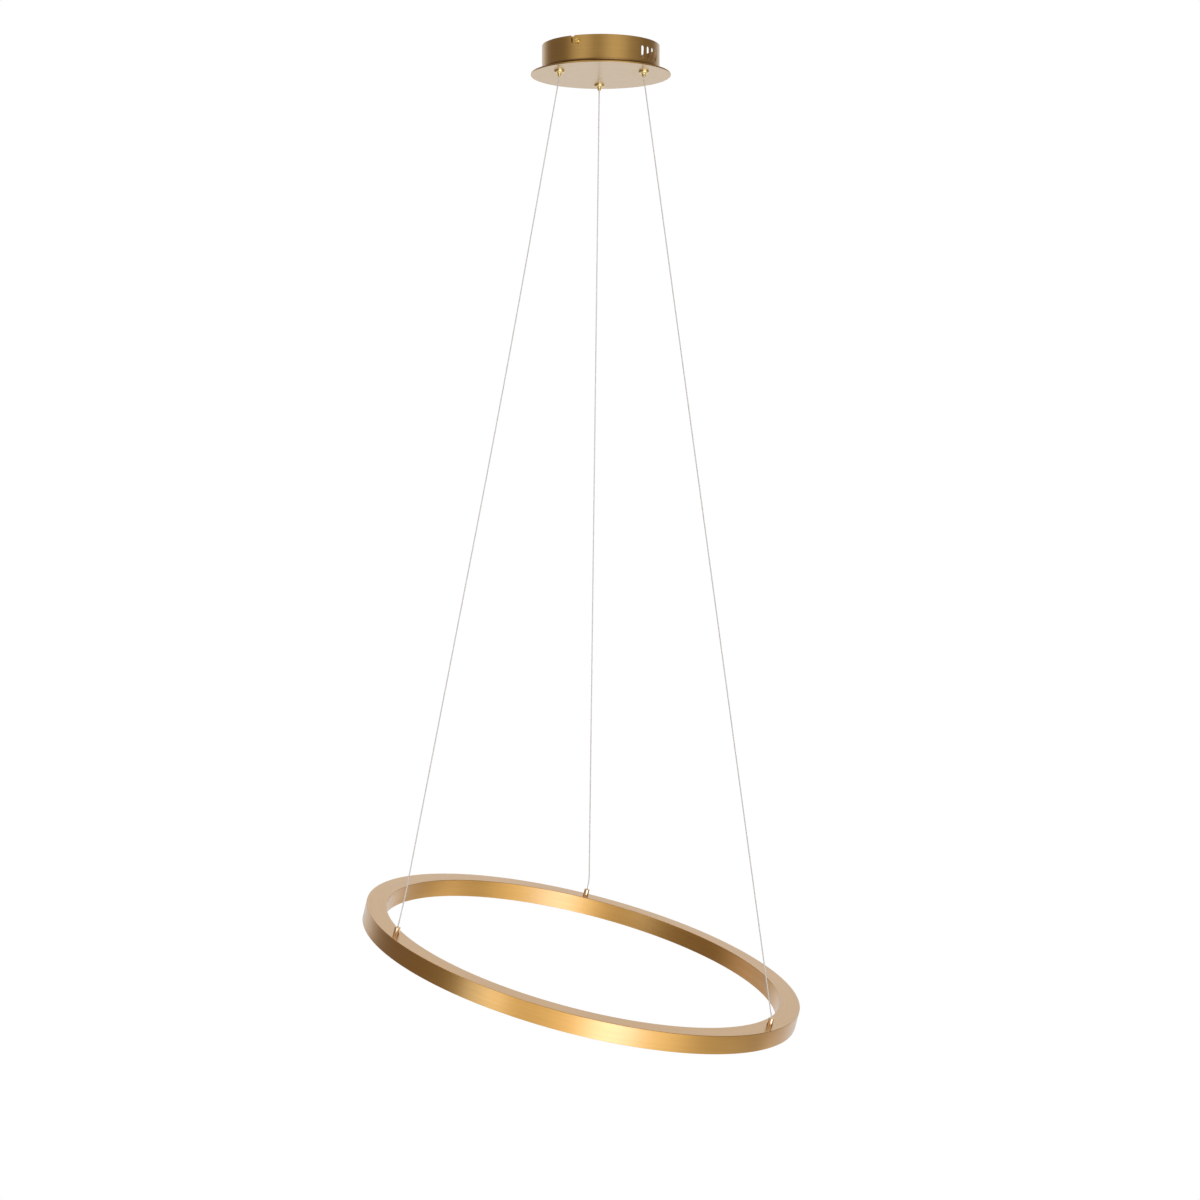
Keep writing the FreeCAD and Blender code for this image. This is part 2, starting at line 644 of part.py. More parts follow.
def draw_hexagon(sketch, x, flats):
    """A hexagon about (x, 0) with two corners on the X axis."""
    corner = "(%s) / 2 / cos(30deg)" % flats
    draw_outline(sketch, [("%s + %s * cos(%ddeg)" % (x, corner, turn), "%s * sin(%ddeg)" % (corner, turn))
                          for turn in range(0, 360, 60)])


def make_gripper_fixings():
    floor_top = "plate_thickness + drum_wall"
    washers = three_pads("gripper_washers", [
        lambda sketch: draw_circle(sketch, "gripper_circle", "0", "washer_radius"),
        lambda sketch: draw_circle(sketch, "gripper_circle", "0", "barrel_radius + barrel_gap"),
    ], floor_top, "washer_height")
    nuts = three_pads("gripper_nuts", [
        lambda sketch: draw_hexagon(sketch, "gripper_circle", "nut_flats"),
        lambda sketch: draw_circle(sketch, "gripper_circle", "0", "barrel_radius + fit_gap"),
    ], floor_top + " + washer_height", "nut_height")
    caps = three_pads("gripper_caps", [
        lambda sketch: draw_circle(sketch, "gripper_circle", "0", "chamber_radius - fit_gap"),
        lambda sketch: draw_circle(sketch, "gripper_circle", "0", "bore_radius"),
    ], "barrel_height - cap_height", "cap_height")
    for body in (washers, nuts, caps):
        set_place(body, turn="90 + gripper_turn")


# What the canopy holds, standing on the drum's floor

FLOOR = "(canopy_depth - plate_thickness - drum_wall)"


def box_body(label, x, y, rise, length, width, height):
    body = new_body(label)
    sketch = new_sketch(body, label + "_outline", "XY_Plane", rise="%s - %s" % (rise, FLOOR))
    draw_box(sketch, x, y, length, width)
    pad(body, sketch, height)
    return body


def round_upright_edges(body, radius, keep):
    """Fillets the upright edges that a test keeps."""
    document.recompute()
    chosen = []
    for number, edge in enumerate(body.Shape.Edges, 1):
        direction = edge.tangentAt(edge.FirstParameter)
        if abs(direction.z) > 0.99 and keep(edge.CenterOfMass):
            chosen.append("Edge%d" % number)
    base = body.Tip
    feature = body.newObject("PartDesign::Fillet", body.Name + "_rounded")
    feature.Base = (base, chosen)
    feature.setExpression("Radius", bound(radius))


def make_driver():
    case = box_body("driver_case", "0", "driver_y", "0", "driver_length", "driver_width",
                    "driver_height - driver_wall")
    half_length = size("driver_length") / 2
    round_upright_edges(case, "driver_corner", lambda spot: abs(abs(spot.x) - half_length) < 1)
    room = new_sketch(case, "case_room", "XY_Plane", rise="driver_height - driver_wall - " + FLOOR)
    draw_box(room, "0", "driver_y", "driver_length - 2 * driver_wall", "driver_width - 2 * driver_wall")
    pocket(case, room, "driver_height - 2 * driver_wall")
    ears = new_sketch(case, "case_ears", "XY_Plane", rise="-" + FLOOR)
    for side in ("", "-"):
        draw_box(ears, side + EAR_X, "driver_y", "ear_length", "ear_width")
        draw_circle(ears, side + EAR_X, "driver_y", "small_screw_radius + fit_gap")
    pad(case, ears, "ear_thickness")
    lid = box_body("driver_lid", "0", "driver_y", "driver_height - driver_wall", "driver_length",
                   "driver_width", "driver_wall")
    round_upright_edges(lid, "driver_corner", lambda spot: True)
    lip = new_sketch(lid, "lid_lip", "XY_Plane", rise="driver_height - driver_wall - " + FLOOR)
    draw_box(lip, "0", "driver_y", "driver_length - 2 * driver_wall - 2 * seat_gap",
             "driver_width - 2 * driver_wall - 2 * seat_gap")
    draw_box(lip, "0", "driver_y", "driver_length - 4 * driver_wall", "driver_width - 4 * driver_wall")
    pad(lid, lip, "driver_wall", down=True)
    board = box_body("driver_board", "0", "driver_y", "driver_wall",
                     "driver_length - 2 * driver_wall - 2 * seat_gap",
                     "driver_width - 2 * driver_wall - 2 * seat_gap", "board_rise + board_thickness")
    under = new_sketch(board, "board_underside", "XY_Plane", rise="driver_wall + board_rise - " + FLOOR)
    draw_box(under, "0", "driver_y", "driver_length - 2 * driver_wall - 2 * ear_length",
             "driver_width + overrun")
    pocket(board, under, "board_rise + overrun")
    board_top = "driver_wall + board_rise + board_thickness"
    box_body("driver_transformer", "0", "driver_y", board_top, "transformer_length", "transformer_width",
             "transformer_height")
    capacitors = new_body("driver_capacitors")
    sketch = new_sketch(capacitors, "capacitor_outlines", "XY_Plane", rise="%s - %s" % (board_top, FLOOR))
    for side in ("+", "-"):
        draw_circle(sketch, "capacitor_x", "driver_y %s capacitor_pitch / 2" % side, "capacitor_radius")
    pad(capacitors, sketch, "capacitor_height")


def screw_shape(shank, grip):
    """A small slotted screw with its origin under the head."""
    head_radius, head_height = size("small_head_radius"), size("small_head_height")
    slot_width, slot_depth = size("drive_slot_width"), size("drive_slot_depth")
    head = Part.makeCylinder(head_radius, head_height)
    rim = [edge for edge in head.Edges if abs(edge.CenterOfMass.z - head_height) < 1e-6 and edge.Closed]
    head = head.makeFillet(size("plunger_edge"), rim)
    slot = Part.makeBox(2 * head_radius, slot_width, slot_depth,
                        FreeCAD.Vector(-head_radius, -slot_width / 2, head_height - slot_depth))
    return head.cut(slot).fuse(Part.makeCylinder(shank, grip, FreeCAD.Vector(), -UP))


def make_screws(label, spots, shank, grip):
    """Identical screws at (x, y, height under the head)."""
    group = []
    for x, y, height in spots:
        screw = screw_shape(shank, grip)
        screw.translate(FreeCAD.Vector(x, y, height))
        group.append(screw)
    loose(label, Part.makeCompound(group))


def make_terminals():
    body = box_body("terminal_block", "block_x", "block_y", "0", "block_length", "block_width",
                    "block_height")
    wells = new_sketch(body, "terminal_wells", "XY_Plane", rise="block_height - " + FLOOR)
    for pole in (-1, 0, 1):
        for row in (-1, 1):
            draw_circle(wells, "block_x + %d * pole_pitch" % pole, "block_y + %d * pole_row" % row,
                        "small_head_radius + seat_gap")
    pocket(body, wells, "pole_well")
    fixing = new_sketch(body, "terminal_fixing_hole", "XY_Plane", rise="block_height - " + FLOOR)
    draw_circle(fixing, BLOCK_SCREW_X, "block_y", "small_screw_radius + fit_gap")
    pocket(body, fixing, "block_height + overrun")
    for side, name in ((-1, "front"), (1, "back")):
        wires = new_sketch(body, "wire_holes_" + name, "XZ_Plane",
                           rise="-block_y - %d * block_width / 2" % side)
        for pole in (-1, 0, 1):
            draw_circle(wires, "block_x + %d * pole_pitch" % pole, "wire_hole_rise - " + FLOOR,
                        "wire_hole_radius")
        pocket(body, wires, "wire_hole_depth", turned=(side == 1))


def make_small_screws():
    floor = -size(FLOOR)
    shank = size("small_screw_radius")
    well_floor = floor + size("block_height - pole_well + seat_gap")
    clamps = []
    for pole in (-1, 0, 1):
        pole_x = size("block_x") + pole * size("pole_pitch")
        for row in (-1, 1):
            clamps.append((pole_x, size("block_y") + row * size("pole_row"), well_floor))
    make_screws("terminal_screws", clamps, shank, size("seat_gap / 2"))
    block_top = (size(BLOCK_SCREW_X), size("block_y"), floor + size("block_height"))
    make_screws("terminal_fixing_screw", [block_top], shank, size("block_height + drum_wall"))
    ear_top = floor + size("ear_thickness")
    ears = [(side * size(EAR_X), size("driver_y"), ear_top) for side in (-1, 1)]
    make_screws("driver_screws", ears, shank, size("ear_thickness + drum_wall"))
    lug_top = (size("earth_x"), size("earth_y"), floor + size("earth_lug_height"))
    make_screws("earth_screw", [lug_top], shank, size("earth_lug_height + drum_wall"))


def make_splice():
    """The output connector: a block with wire holes in its top and in its right end."""
    body = box_body("output_connector", "splice_x", "splice_y", "0", "splice_length", "splice_width",
                    "splice_height")
    tops = new_sketch(body, "splice_top_holes", "XY_Plane", rise="splice_height - " + FLOOR)
    for place in (-1, 0, 1):
        draw_circle(tops, "splice_x + %d * splice_pitch" % place, "splice_y", "wire_hole_radius")
    pocket(body, tops, "wire_hole_depth")
    ends = new_sketch(body, "splice_end_holes", "YZ_Plane", rise="splice_x + splice_length / 2")
    for place in (-0.5, 0.5):
        draw_circle(ends, "splice_y + %.1f * splice_pitch" % place, "wire_hole_rise / 2 - " + FLOOR,
                    "lead_radius + seat_gap")
    pocket(body, ends, "wire_hole_depth")


def make_leads():
    """Two pairs of leads beside each other, and the earth lead with its lug."""
    vector = FreeCAD.Vector
    floor = -size(FLOOR)
    radius = size("lead_radius")
    end_x = size("driver_length / 2")
    low = floor + size("wire_hole_rise")
    tuck = size("lead_tuck")
    block_back = size("block_y + block_width / 2")
    inputs = []
    input_routes = {
        -1: [(-50, -2), (-56, -2), (-62, -8), (-60, -16), (-52, -20), (-41, -21), (-30, -18), (-23, -18.5)],
        0: [(-50, -5), (-55, -5), (-59, -9.5), (-57, -15), (-50, -17.5), (-41, -18), (-30, -15),
            (-13, -15.5)],
    }
    for pole, route in input_routes.items():
        pole_x = size("block_x") + pole * size("pole_pitch")
        points = [vector(x, y, low) for x, y in route]
        points += [vector(pole_x, block_back + tuck, low), vector(pole_x, block_back - tuck, low)]
        points[0].x = -end_x
        inputs.append(tube(points, radius, "driver_input_lead"))
    loose("driver_input_leads", Part.makeCompound(inputs))
    right = size("splice_x + splice_length / 2")
    level = floor + size("wire_hole_rise / 2")
    outputs = []
    for shift, outer in ((-0.5, 0), (0.5, size("lead_spacing"))):
        row = size("splice_y") + shift * size("splice_pitch")
        route = [(50, 22 - outer), (55 + outer, 22 - outer), (59 + outer, 27 - outer / 2),
                 (60 + outer, 33), (58 + outer, row - 4 + outer / 4), (51 + outer, row)]
        points = [vector(x, y, level) for x, y in route] + [vector(right - tuck, row, level)]
        points[0].x = end_x
        outputs.append(tube(points, radius, "driver_output_lead"))
    loose("driver_output_leads", Part.makeCompound(outputs))
    pole_x = size("block_x + pole_pitch")
    lug_top = floor + size("earth_lug_height")
    route = [(2, -27, 0), (5, -21, -1), (13, -18, -2), (22, -20, -3), (28, -27, -4)]
    points = [vector(pole_x, block_back - tuck, low)] + [vector(x, y, low + z) for x, y, z in route]
    points += [vector(size("earth_x"), size("earth_y + 2.5 * earth_lug_radius"), lug_top + radius),
               vector(size("earth_x"), size("earth_y + earth_lug_radius"), lug_top)]
    wire = tube(points, radius, "earth_lead")
    lug_place = vector(size("earth_x"), size("earth_y"), floor)
    lug = Part.makeCylinder(size("earth_lug_radius"), size("earth_lug_height"), lug_place)
    hole = Part.makeCylinder(size("small_screw_radius + fit_gap"), size("earth_lug_height"), lug_place)
    loose("earth_lead", lug.fuse(wire).cut(hole))


# Cables

def cable_top(azimuth):
    return gripper_centre(azimuth, -size("canopy_depth + plunger_drop - cable_tuck"))


def cable_ends(azimuth):
    """Two points in the gripper, and a function for points on the connector's axis."""
    exit_height = -size("canopy_depth + plunger_drop + cable_exit")
    place = ring_place()
    middle = size("ring_radius - ring_width / 2")

    def above(rise):
        return place.multVec(polar(middle, azimuth + size("connector_turn"), size("connector_height") + rise))
    return [cable_top(azimuth), gripper_centre(azimuth, exit_height)], above


def make_cables():
    radius = size("cable_radius")
    ferrule_top = -size("connector_throat + seat_gap")
    for label, azimuth in PLACES.items():
        route, above = cable_ends(azimuth)
        if label == "right":
            bend = above(0) + FreeCAD.Vector(-size("right_cable_lean") / 2, 0, size("right_cable_rise"))
            route += [bend, above(size("right_cable_guide")), above(ferrule_top)]
        elif label == "left":
            bend = above(size("left_cable_rise"))
            bow = route[-1] * 0.6 + bend * 0.4 + FreeCAD.Vector(size("left_cable_bow"), 0, 0)
            route += [bow, bend, above(ferrule_top)]
        else:
            route += [above(size("rear_cable_rise")), above(ferrule_top)]
        print(label, "route", [tuple(round(value, 2) for value in point) for point in route])
        loose(label + "_cable", tube(route, radius, label + "_cable"))


def make_tails():
    """From the top of each hanging cable, over the driver, down into the output connector."""
    vector = FreeCAD.Vector
    first = -size("tail_rise")
    level = -size("tail_run")
    rise = size("tail_rise - tail_run")
    block_top = -size(FLOOR) + size("splice_height")
    routes = {
        "left": (0, [(-44, 2), (-30, 24), (-4, 38)]),
        "rear": (-1, [(4, 52)]),
        "right": (1, [(59, -8), (59, 20)]),
    }
    for label, azimuth in PLACES.items():
        place, between = routes[label]
        top = cable_top(azimuth)
        end = vector(size("splice_x") + place * size("splice_pitch"), size("splice_y"), block_top)
        towards = (vector(between[0][0], between[0][1], 0) - vector(top.x, top.y, 0)).normalize() * rise
        arriving = (vector(end.x, end.y, 0) - vector(between[-1][0], between[-1][1], 0)).normalize() * rise
        route = [top, vector(top.x, top.y, first), vector(top.x + towards.x, top.y + towards.y, level)]
        route += [vector(x, y, level) for x, y in between]
        route += [vector(end.x - arriving.x, end.y - arriving.y, level), vector(end.x, end.y, first),
                  vector(end.x, end.y, block_top - size("lead_tuck"))]
        loose(label + "_cable_tail", tube(route, size("cable_radius"), label + "_cable_tail"))


# Ring, in its own frame: its top face at height 0, its middle at the origin

def make_housing():
    outer = "ring_radius"
    inner = "(ring_radius - ring_width)"
    foot = "-ring_height"
    catch_low = "-catch_drop - catch_height / 2"
    catch_high = "catch_height / 2 - catch_drop"
    body = revolve("ring_housing", [
        (inner, "ring_foot_edge - ring_height"),
        (inner + " + ring_foot_edge", foot),
        (inner + " + ring_wall", foot),
        (inner + " + ring_wall", catch_low),
        (inner + " + ring_wall - catch_depth", catch_low),
        (inner + " + ring_wall - catch_depth", catch_high),
        (inner + " + ring_wall", catch_high),
        (inner + " + ring_wall", "-ledge_drop - ledge_height"),
        (inner + " + ring_wall + ledge_reach", "-ledge_drop - ledge_height"),
        (inner + " + ring_wall + ledge_reach", "-ledge_drop"),
        (inner + " + ring_wall", "-ledge_drop"),
        (inner + " + ring_wall", "-ring_web"),
        (outer + " - ring_wall", "-ring_web"),
        (outer + " - ring_wall", "-ledge_drop"),
        (outer + " - ring_wall - ledge_reach", "-ledge_drop"),
        (outer + " - ring_wall - ledge_reach", "-ledge_drop - ledge_height"),
        (outer + " - ring_wall", "-ledge_drop - ledge_height"),
        (outer + " - ring_wall", catch_high),
        (outer + " - ring_wall + catch_depth", catch_high),
        (outer + " - ring_wall + catch_depth", catch_low),
        (outer + " - ring_wall", catch_low),
        (outer + " - ring_wall", foot),
        (outer + " - ring_foot_edge", foot),
        (outer, "ring_foot_edge - ring_height"),
        (outer, "-ring_edge"),
        (outer + " - ring_edge", "0"),
        (inner + " + ring_edge", "0"),
        (inner, "-ring_edge"),
    ])
    holes = new_sketch(body, "housing_holes", "XY_Plane")
    circles_on_ring(holes, "bush_radius + fit_gap")
    pocket(body, holes, "ring_web + overrun / 2")
    set_on_ring(body)


MIDDLE = "(ring_radius - ring_width / 2)"


def circles_on_ring(sketch, radius):
    """A circle at each connector."""
    for azimuth in PLACES.values():
        turn = "(%d + connector_turn) * 1deg" % azimuth
        draw_circle(sketch, "%s * cos(%s)" % (MIDDLE, turn), "%s * sin(%s)" % (MIDDLE, turn), radius)


def ring_pads(label, outlines, top, height):
    """Three like pieces at the connectors, padded down from a height in the ring."""
    body = new_body(label)
    sketch = new_sketch(body, label + "_outline", "XY_Plane", rise=top)
    for radius in outlines:
        circles_on_ring(sketch, radius)
    pad(body, sketch, height, down=True)
    return body


def make_connectors():
    body = ring_pads("ring_connectors", ["stud_radius"], "0", "stud_length")
    heads = new_sketch(body, "connector_heads", "XY_Plane")
    circles_on_ring(heads, "connector_radius")
    pad(body, heads, "connector_height")
    document.recompute()
    top = size("connector_height")
    rims = ["Edge%d" % number for number, edge in enumerate(body.Shape.Edges, 1)
            if edge.Closed and abs(edge.CenterOfMass.z - top) < 1e-6]
    base = body.Tip
    chamfer = body.newObject("PartDesign::Chamfer", "connector_rims")
    chamfer.Base = (base, rims)
    chamfer.setExpression("Size", bound("connector_edge"))
    throat = new_sketch(body, "connector_throats", "XY_Plane", rise="connector_height")
    circles_on_ring(throat, "bore_radius")
    pocket(body, throat, "connector_throat + overrun")
    chamber = new_sketch(body, "ferrule_chambers", "XY_Plane", rise="connector_height - connector_throat")
    circles_on_ring(chamber, "stud_bore_radius")
    pocket(body, chamber, "connector_height + stud_length + overrun")
    set_on_ring(body)
    ferrules = ring_pads("cable_ferrules", ["ferrule_radius"],
                         "connector_height - connector_throat - seat_gap", "ferrule_length")
    set_on_ring(ferrules)


def make_connector_fixings():
    bush_top = "-seat_gap"
    bushes = ring_pads("connector_bushes", ["bush_radius", "stud_radius + fit_gap"], bush_top,
                       "ring_web + bush_flange_height - seat_gap")
    flange = new_sketch(bushes, "bush_flanges", "XY_Plane", rise="-ring_web")
    for radius in ("bush_flange_radius", "stud_radius + fit_gap"):
        circles_on_ring(flange, radius)
    pad(bushes, flange, "bush_flange_height", down=True)
    under_bush = "-ring_web - bush_flange_height"
    washers = ring_pads("connector_washers", ["bush_flange_radius - ring_edge", "stud_radius + fit_gap"],
                        under_bush, "lug_height")
    nuts = new_body("connector_nuts")
    sketch = new_sketch(nuts, "stud_nut_outline", "XY_Plane", rise=under_bush + " - lug_height")
    draw_hexagon(sketch, MIDDLE, "stud_nut_flats")
    draw_circle(sketch, MIDDLE, "0", "stud_radius + fit_gap")
    nut = pad(nuts, sketch, "stud_nut_height", down=True)
    around(nuts, [nut], "3", "360")
    for body in (bushes, washers):
        set_on_ring(body)
    turn_on_ring(nuts)


def turn_on_ring(item):
    """On the ring, with the body's own X axis at the rear connector."""
    place = ring_place()
    spin = FreeCAD.Placement(FreeCAD.Vector(), FreeCAD.Rotation(UP, PLACES["rear"] + size("connector_turn")))
    item.Placement = place.multiply(spin)


def make_lights():
    inner = "(ring_radius - ring_width + ring_wall)"
    outer = "(ring_radius - ring_wall)"
    carrier_top = "-ledge_drop - ledge_height - seat_gap"
    strip_top = carrier_top + " - carrier_thickness"
    carrier = revolve("led_carrier", [
        (inner + " + seat_gap", strip_top),
        (outer + " - seat_gap", strip_top),
        (outer + " - seat_gap", carrier_top),
        (inner + " + seat_gap", carrier_top),
    ])
    set_on_ring(carrier)
    strip = revolve("led_strip", [
        (MIDDLE + " - strip_width / 2", strip_top + " - strip_thickness"),
        (MIDDLE + " + strip_width / 2", strip_top + " - strip_thickness"),
        (MIDDLE + " + strip_width / 2", strip_top),
        (MIDDLE + " - strip_width / 2", strip_top),
    ])
    set_on_ring(strip)
    chips = new_body("led_chips")
    sketch = new_sketch(chips, "led_chip", "XY_Plane", rise=strip_top + " - strip_thickness")
    draw_box(sketch, MIDDLE, "0", "chip_width", "chip_length")
    chip = pad(chips, sketch, "chip_height", down=True)
    around(chips, [chip], "chip_count", "360")
    set_on_ring(chips)
    leg_top = strip_top + " - seat_gap"
    bead_low = "-catch_drop - catch_height / 2 + seat_gap"
    bead_high = "catch_height / 2 - catch_drop - seat_gap"
    diffuser = revolve("diffuser", [
        (inner + " + seat_gap", "-ring_height"),
        (outer + " - seat_gap", "-ring_height"),
        (outer + " - seat_gap", bead_low),
        (outer + " - seat_gap + catch_depth - seat_gap", bead_low),
        (outer + " - seat_gap", bead_high),
        (outer + " - seat_gap", leg_top),
        (outer + " - seat_gap - diffuser_leg", leg_top),
        (outer + " - seat_gap - diffuser_leg", "diffuser_thickness - ring_height"),
        (inner + " + seat_gap + diffuser_leg", "diffuser_thickness - ring_height"),
        (inner + " + seat_gap + diffuser_leg", leg_top),
        (inner + " + seat_gap", leg_top),
        (inner + " + seat_gap", bead_high),
        (inner + " + seat_gap - catch_depth + seat_gap", bead_low),
        (inner + " + seat_gap", bead_low),
    ])
    set_on_ring(diffuser)


def make_feeds():
    """A wire from each of the two feeding connectors' washers, along the channel to the carrier."""
    middle = size(MIDDLE)
    radius = size("feed_radius")
    level = -size("ring_web + bush_flange_height + lug_height + seat_gap") - radius
    carrier_top = -size("ledge_drop + ledge_height + seat_gap")
    step = math.degrees(size("stud_nut_flats") / middle)
    wires = []
    for label in ("left", "right"):
        start = PLACES[label] + size("connector_turn")
        wires.append(tube([
            polar(middle, start + 0.75 * step, level),
            polar(middle, start + 1.6 * step, level),
            polar(middle + radius, start + 3 * step, level - radius),
            polar(middle, start + 4 * step, carrier_top + 2 * radius),
            polar(middle, start + 4.2 * step, carrier_top + radius / 4),
        ], radius, label + "_feed_wire"))
    span = 2 * size("ring_radius")
    corner = FreeCAD.Vector(-span / 2, -span / 2, carrier_top - size("overrun"))
    under = Part.makeBox(span, span, size("overrun"), corner)
    loose("ring_feed_wires", Part.makeCompound([wire.cut(under) for wire in wires]), ring_place())


make_bracket()
make_lock_nuts()
make_lock_screw("front_lock_screw", False)
make_lock_screw("rear_lock_screw", True)
make_drum()
make_plate()
for name, azimuth in PLACES.items():
    make_gripper_body(name + "_gripper_body", azimuth)
    make_plunger(name + "_plunger", azimuth)
    make_balls(name + "_grip_balls", azimuth)
    make_spring(name + "_spring", azimuth)
make_gripper_fixings()
make_driver()
make_terminals()
make_small_screws()
make_splice()
make_leads()
make_cables()
make_tails()
make_housing()
make_connectors()
make_connector_fixings()
make_lights()
make_feeds()
document.recompute()

# Every object has to be sound before anything is written
kept = []
for item in document.Objects:
    if {"Invalid", "Error"} & set(item.State):
        raise ValueError(item.Label + " failed: " + ", ".join(item.State))
    if item.TypeId in ("PartDesign::Body", "Part::Feature"):
        shape = item.Shape
        if shape.isNull() or not shape.isValid() or not shape.Solids:
            raise ValueError(item.Label + " has no sound solid")
        kept.append(item)

os.makedirs("parts", exist_ok=True)
for item in kept:
    item.Shape.exportStep(os.path.join("parts", item.Label + ".step"))
    print("%-24s solids %3d  volume %10.1f" % (item.Label, len(item.Shape.Solids), item.Shape.Volume))
print(len(kept), "nodes")
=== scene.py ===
import bpy
import json
import math
from mathutils import Matrix, Vector


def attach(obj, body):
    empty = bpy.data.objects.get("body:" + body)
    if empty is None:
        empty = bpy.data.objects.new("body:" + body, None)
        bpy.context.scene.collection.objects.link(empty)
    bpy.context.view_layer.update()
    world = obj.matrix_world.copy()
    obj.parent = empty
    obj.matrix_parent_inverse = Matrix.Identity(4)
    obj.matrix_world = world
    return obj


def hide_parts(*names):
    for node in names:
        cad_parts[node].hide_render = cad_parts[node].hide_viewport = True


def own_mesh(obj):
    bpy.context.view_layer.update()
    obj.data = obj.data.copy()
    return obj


# LED ring pendant: a sloping satin gold ring on three thin cables below a round ceiling canopy.
# Metres, +Z up from the ceiling plane, the front of the light towards -Y.

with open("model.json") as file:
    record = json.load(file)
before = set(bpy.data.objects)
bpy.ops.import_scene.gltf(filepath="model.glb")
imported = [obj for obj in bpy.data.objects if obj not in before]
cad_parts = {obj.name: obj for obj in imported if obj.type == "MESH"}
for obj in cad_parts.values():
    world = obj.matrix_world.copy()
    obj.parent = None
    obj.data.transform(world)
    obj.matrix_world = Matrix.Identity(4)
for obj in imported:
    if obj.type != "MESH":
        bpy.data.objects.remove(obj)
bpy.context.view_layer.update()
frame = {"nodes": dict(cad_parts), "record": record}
nodes = frame["nodes"]
print("frame loaded,", len(nodes), "nodes")

sides = {"left": -150, "right": -30, "rear": 90}  # azimuths of the three cables, in degrees


# camera

camera = {"place": (-0.01015, -3.1433, -0.65276), "downwards": 1.581, "rightwards": 0.166,
          "lens": 70.2, "sensor": 36, "farthest": 80}


def makeCamera():
    data = bpy.data.cameras.new("photoCamera")
    data.lens = camera["lens"]
    data.sensor_width = camera["sensor"]
    data.clip_end = camera["farthest"]
    item = bpy.data.objects.new("photoCamera", data)
    item.location = camera["place"]
    item.rotation_euler = (math.radians(90 - camera["downwards"]), 0,
                           math.radians(-camera["rightwards"]))
    bpy.context.collection.objects.link(item)
    bpy.context.scene.camera = item


makeCamera()
print("camera placed")


# modelling steps

tools = {"drillSides": 64, "slotSides": 48, "cornerReach": 2e-5, "smoothAngle": 32}


def deselect():
    bpy.ops.object.select_all(action="DESELECT")


def choose(piece):
    deselect()
    piece.select_set(True)
    bpy.context.view_layer.objects.active = piece


def settle(piece, place=Matrix.Identity(4)):
    # moves the piece and takes its place into its mesh
    choose(piece)
    piece.matrix_world = place @ piece.matrix_world
    bpy.ops.object.transform_apply(location=True, rotation=True, scale=True)
    return piece


def turned(name, corners, segments, closed=False):
    # a circle drawn out from corner to corner, each a radius and a height
    deselect()
    radius, height = corners[0]
    bpy.ops.mesh.primitive_circle_add(vertices=segments, radius=radius, location=(0, 0, height))
    piece = bpy.context.object
    piece.name = piece.data.name = name
    bpy.ops.object.mode_set(mode="EDIT")
    bpy.ops.mesh.select_mode(type="EDGE")
    bpy.ops.mesh.select_all(action="SELECT")
    for nextRadius, nextHeight in corners[1:]:
        step = (0, 0, nextHeight - height)
        bpy.ops.mesh.extrude_region_move(TRANSFORM_OT_translate={"value": step})
        share = nextRadius / radius
        bpy.ops.transform.resize(value=(share, share, 1))
        radius, height = nextRadius, nextHeight
    bpy.ops.mesh.select_all(action="DESELECT")
    bpy.ops.mesh.select_non_manifold(use_wire=False, use_multi_face=False,
                                     use_non_contiguous=False, use_verts=False)
    if closed:
        bpy.ops.mesh.bridge_edge_loops()
    else:
        bpy.ops.mesh.fill_holes(sides=0)
    bpy.ops.mesh.select_all(action="SELECT")
    bpy.ops.mesh.normals_make_consistent(inside=False)
    bpy.ops.object.mode_set(mode="OBJECT")
    return settle(piece)


def roundLoops(piece, corners, width, faces):
    # rounds the edges that run through the given corners
    choose(piece)
    bpy.ops.object.mode_set(mode="EDIT")
    bpy.ops.mesh.select_mode(type="EDGE")
    bpy.ops.mesh.select_all(action="DESELECT")
    bpy.ops.object.mode_set(mode="OBJECT")
    spots = [(math.hypot(vertex.co.x, vertex.co.y), vertex.co.z) for vertex in piece.data.vertices]
    for edge in piece.data.edges:
        ends = [spots[index] for index in edge.vertices]
        edge.select = any(all(math.dist(end, corner) < tools["cornerReach"] for end in ends)
                          for corner in corners)
    bpy.ops.object.mode_set(mode="EDIT")
    bpy.ops.mesh.bevel(offset=width, segments=faces, profile=0.5, affect="EDGES")
    bpy.ops.object.mode_set(mode="OBJECT")


def cutWith(piece, cutter):
    choose(piece)
    modifier = piece.modifiers.new("cut", "BOOLEAN")
    modifier.operation = "DIFFERENCE"
    modifier.solver = "EXACT"
    modifier.object = cutter
    bpy.ops.object.modifier_apply(modifier=modifier.name)
    bpy.data.objects.remove(cutter)


def drill(piece, spot, radius, low, high):
    deselect()
    middle = (spot.x, spot.y, (low + high) / 2)
    bpy.ops.mesh.primitive_cylinder_add(vertices=tools["drillSides"], radius=radius,
                                        depth=high - low, location=middle)
    cutWith(piece, bpy.context.object)


def shadeFine(piece):
    choose(piece)
    bpy.ops.object.shade_smooth_by_angle(angle=math.radians(tools["smoothAngle"]))
    modifier = piece.modifiers.new("fine", "WEIGHTED_NORMAL")
    modifier.keep_sharp = True
    bpy.ops.object.modifier_apply(modifier=modifier.name)


def copied(piece, name, place):
    copy = piece.copy()
    copy.data = piece.data.copy()
    copy.name = copy.data.name = name
    bpy.context.collection.objects.link(copy)
    return settle(copy, place)


def dressed(piece, body, slot, *replaced):
    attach(piece, body)
    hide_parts(*replaced)
    return piece


def onCircle(radius, azimuth, height=0):
    turn = math.radians(azimuth)
    return Vector((radius * math.cos(turn), radius * math.sin(turn), height))


# cables

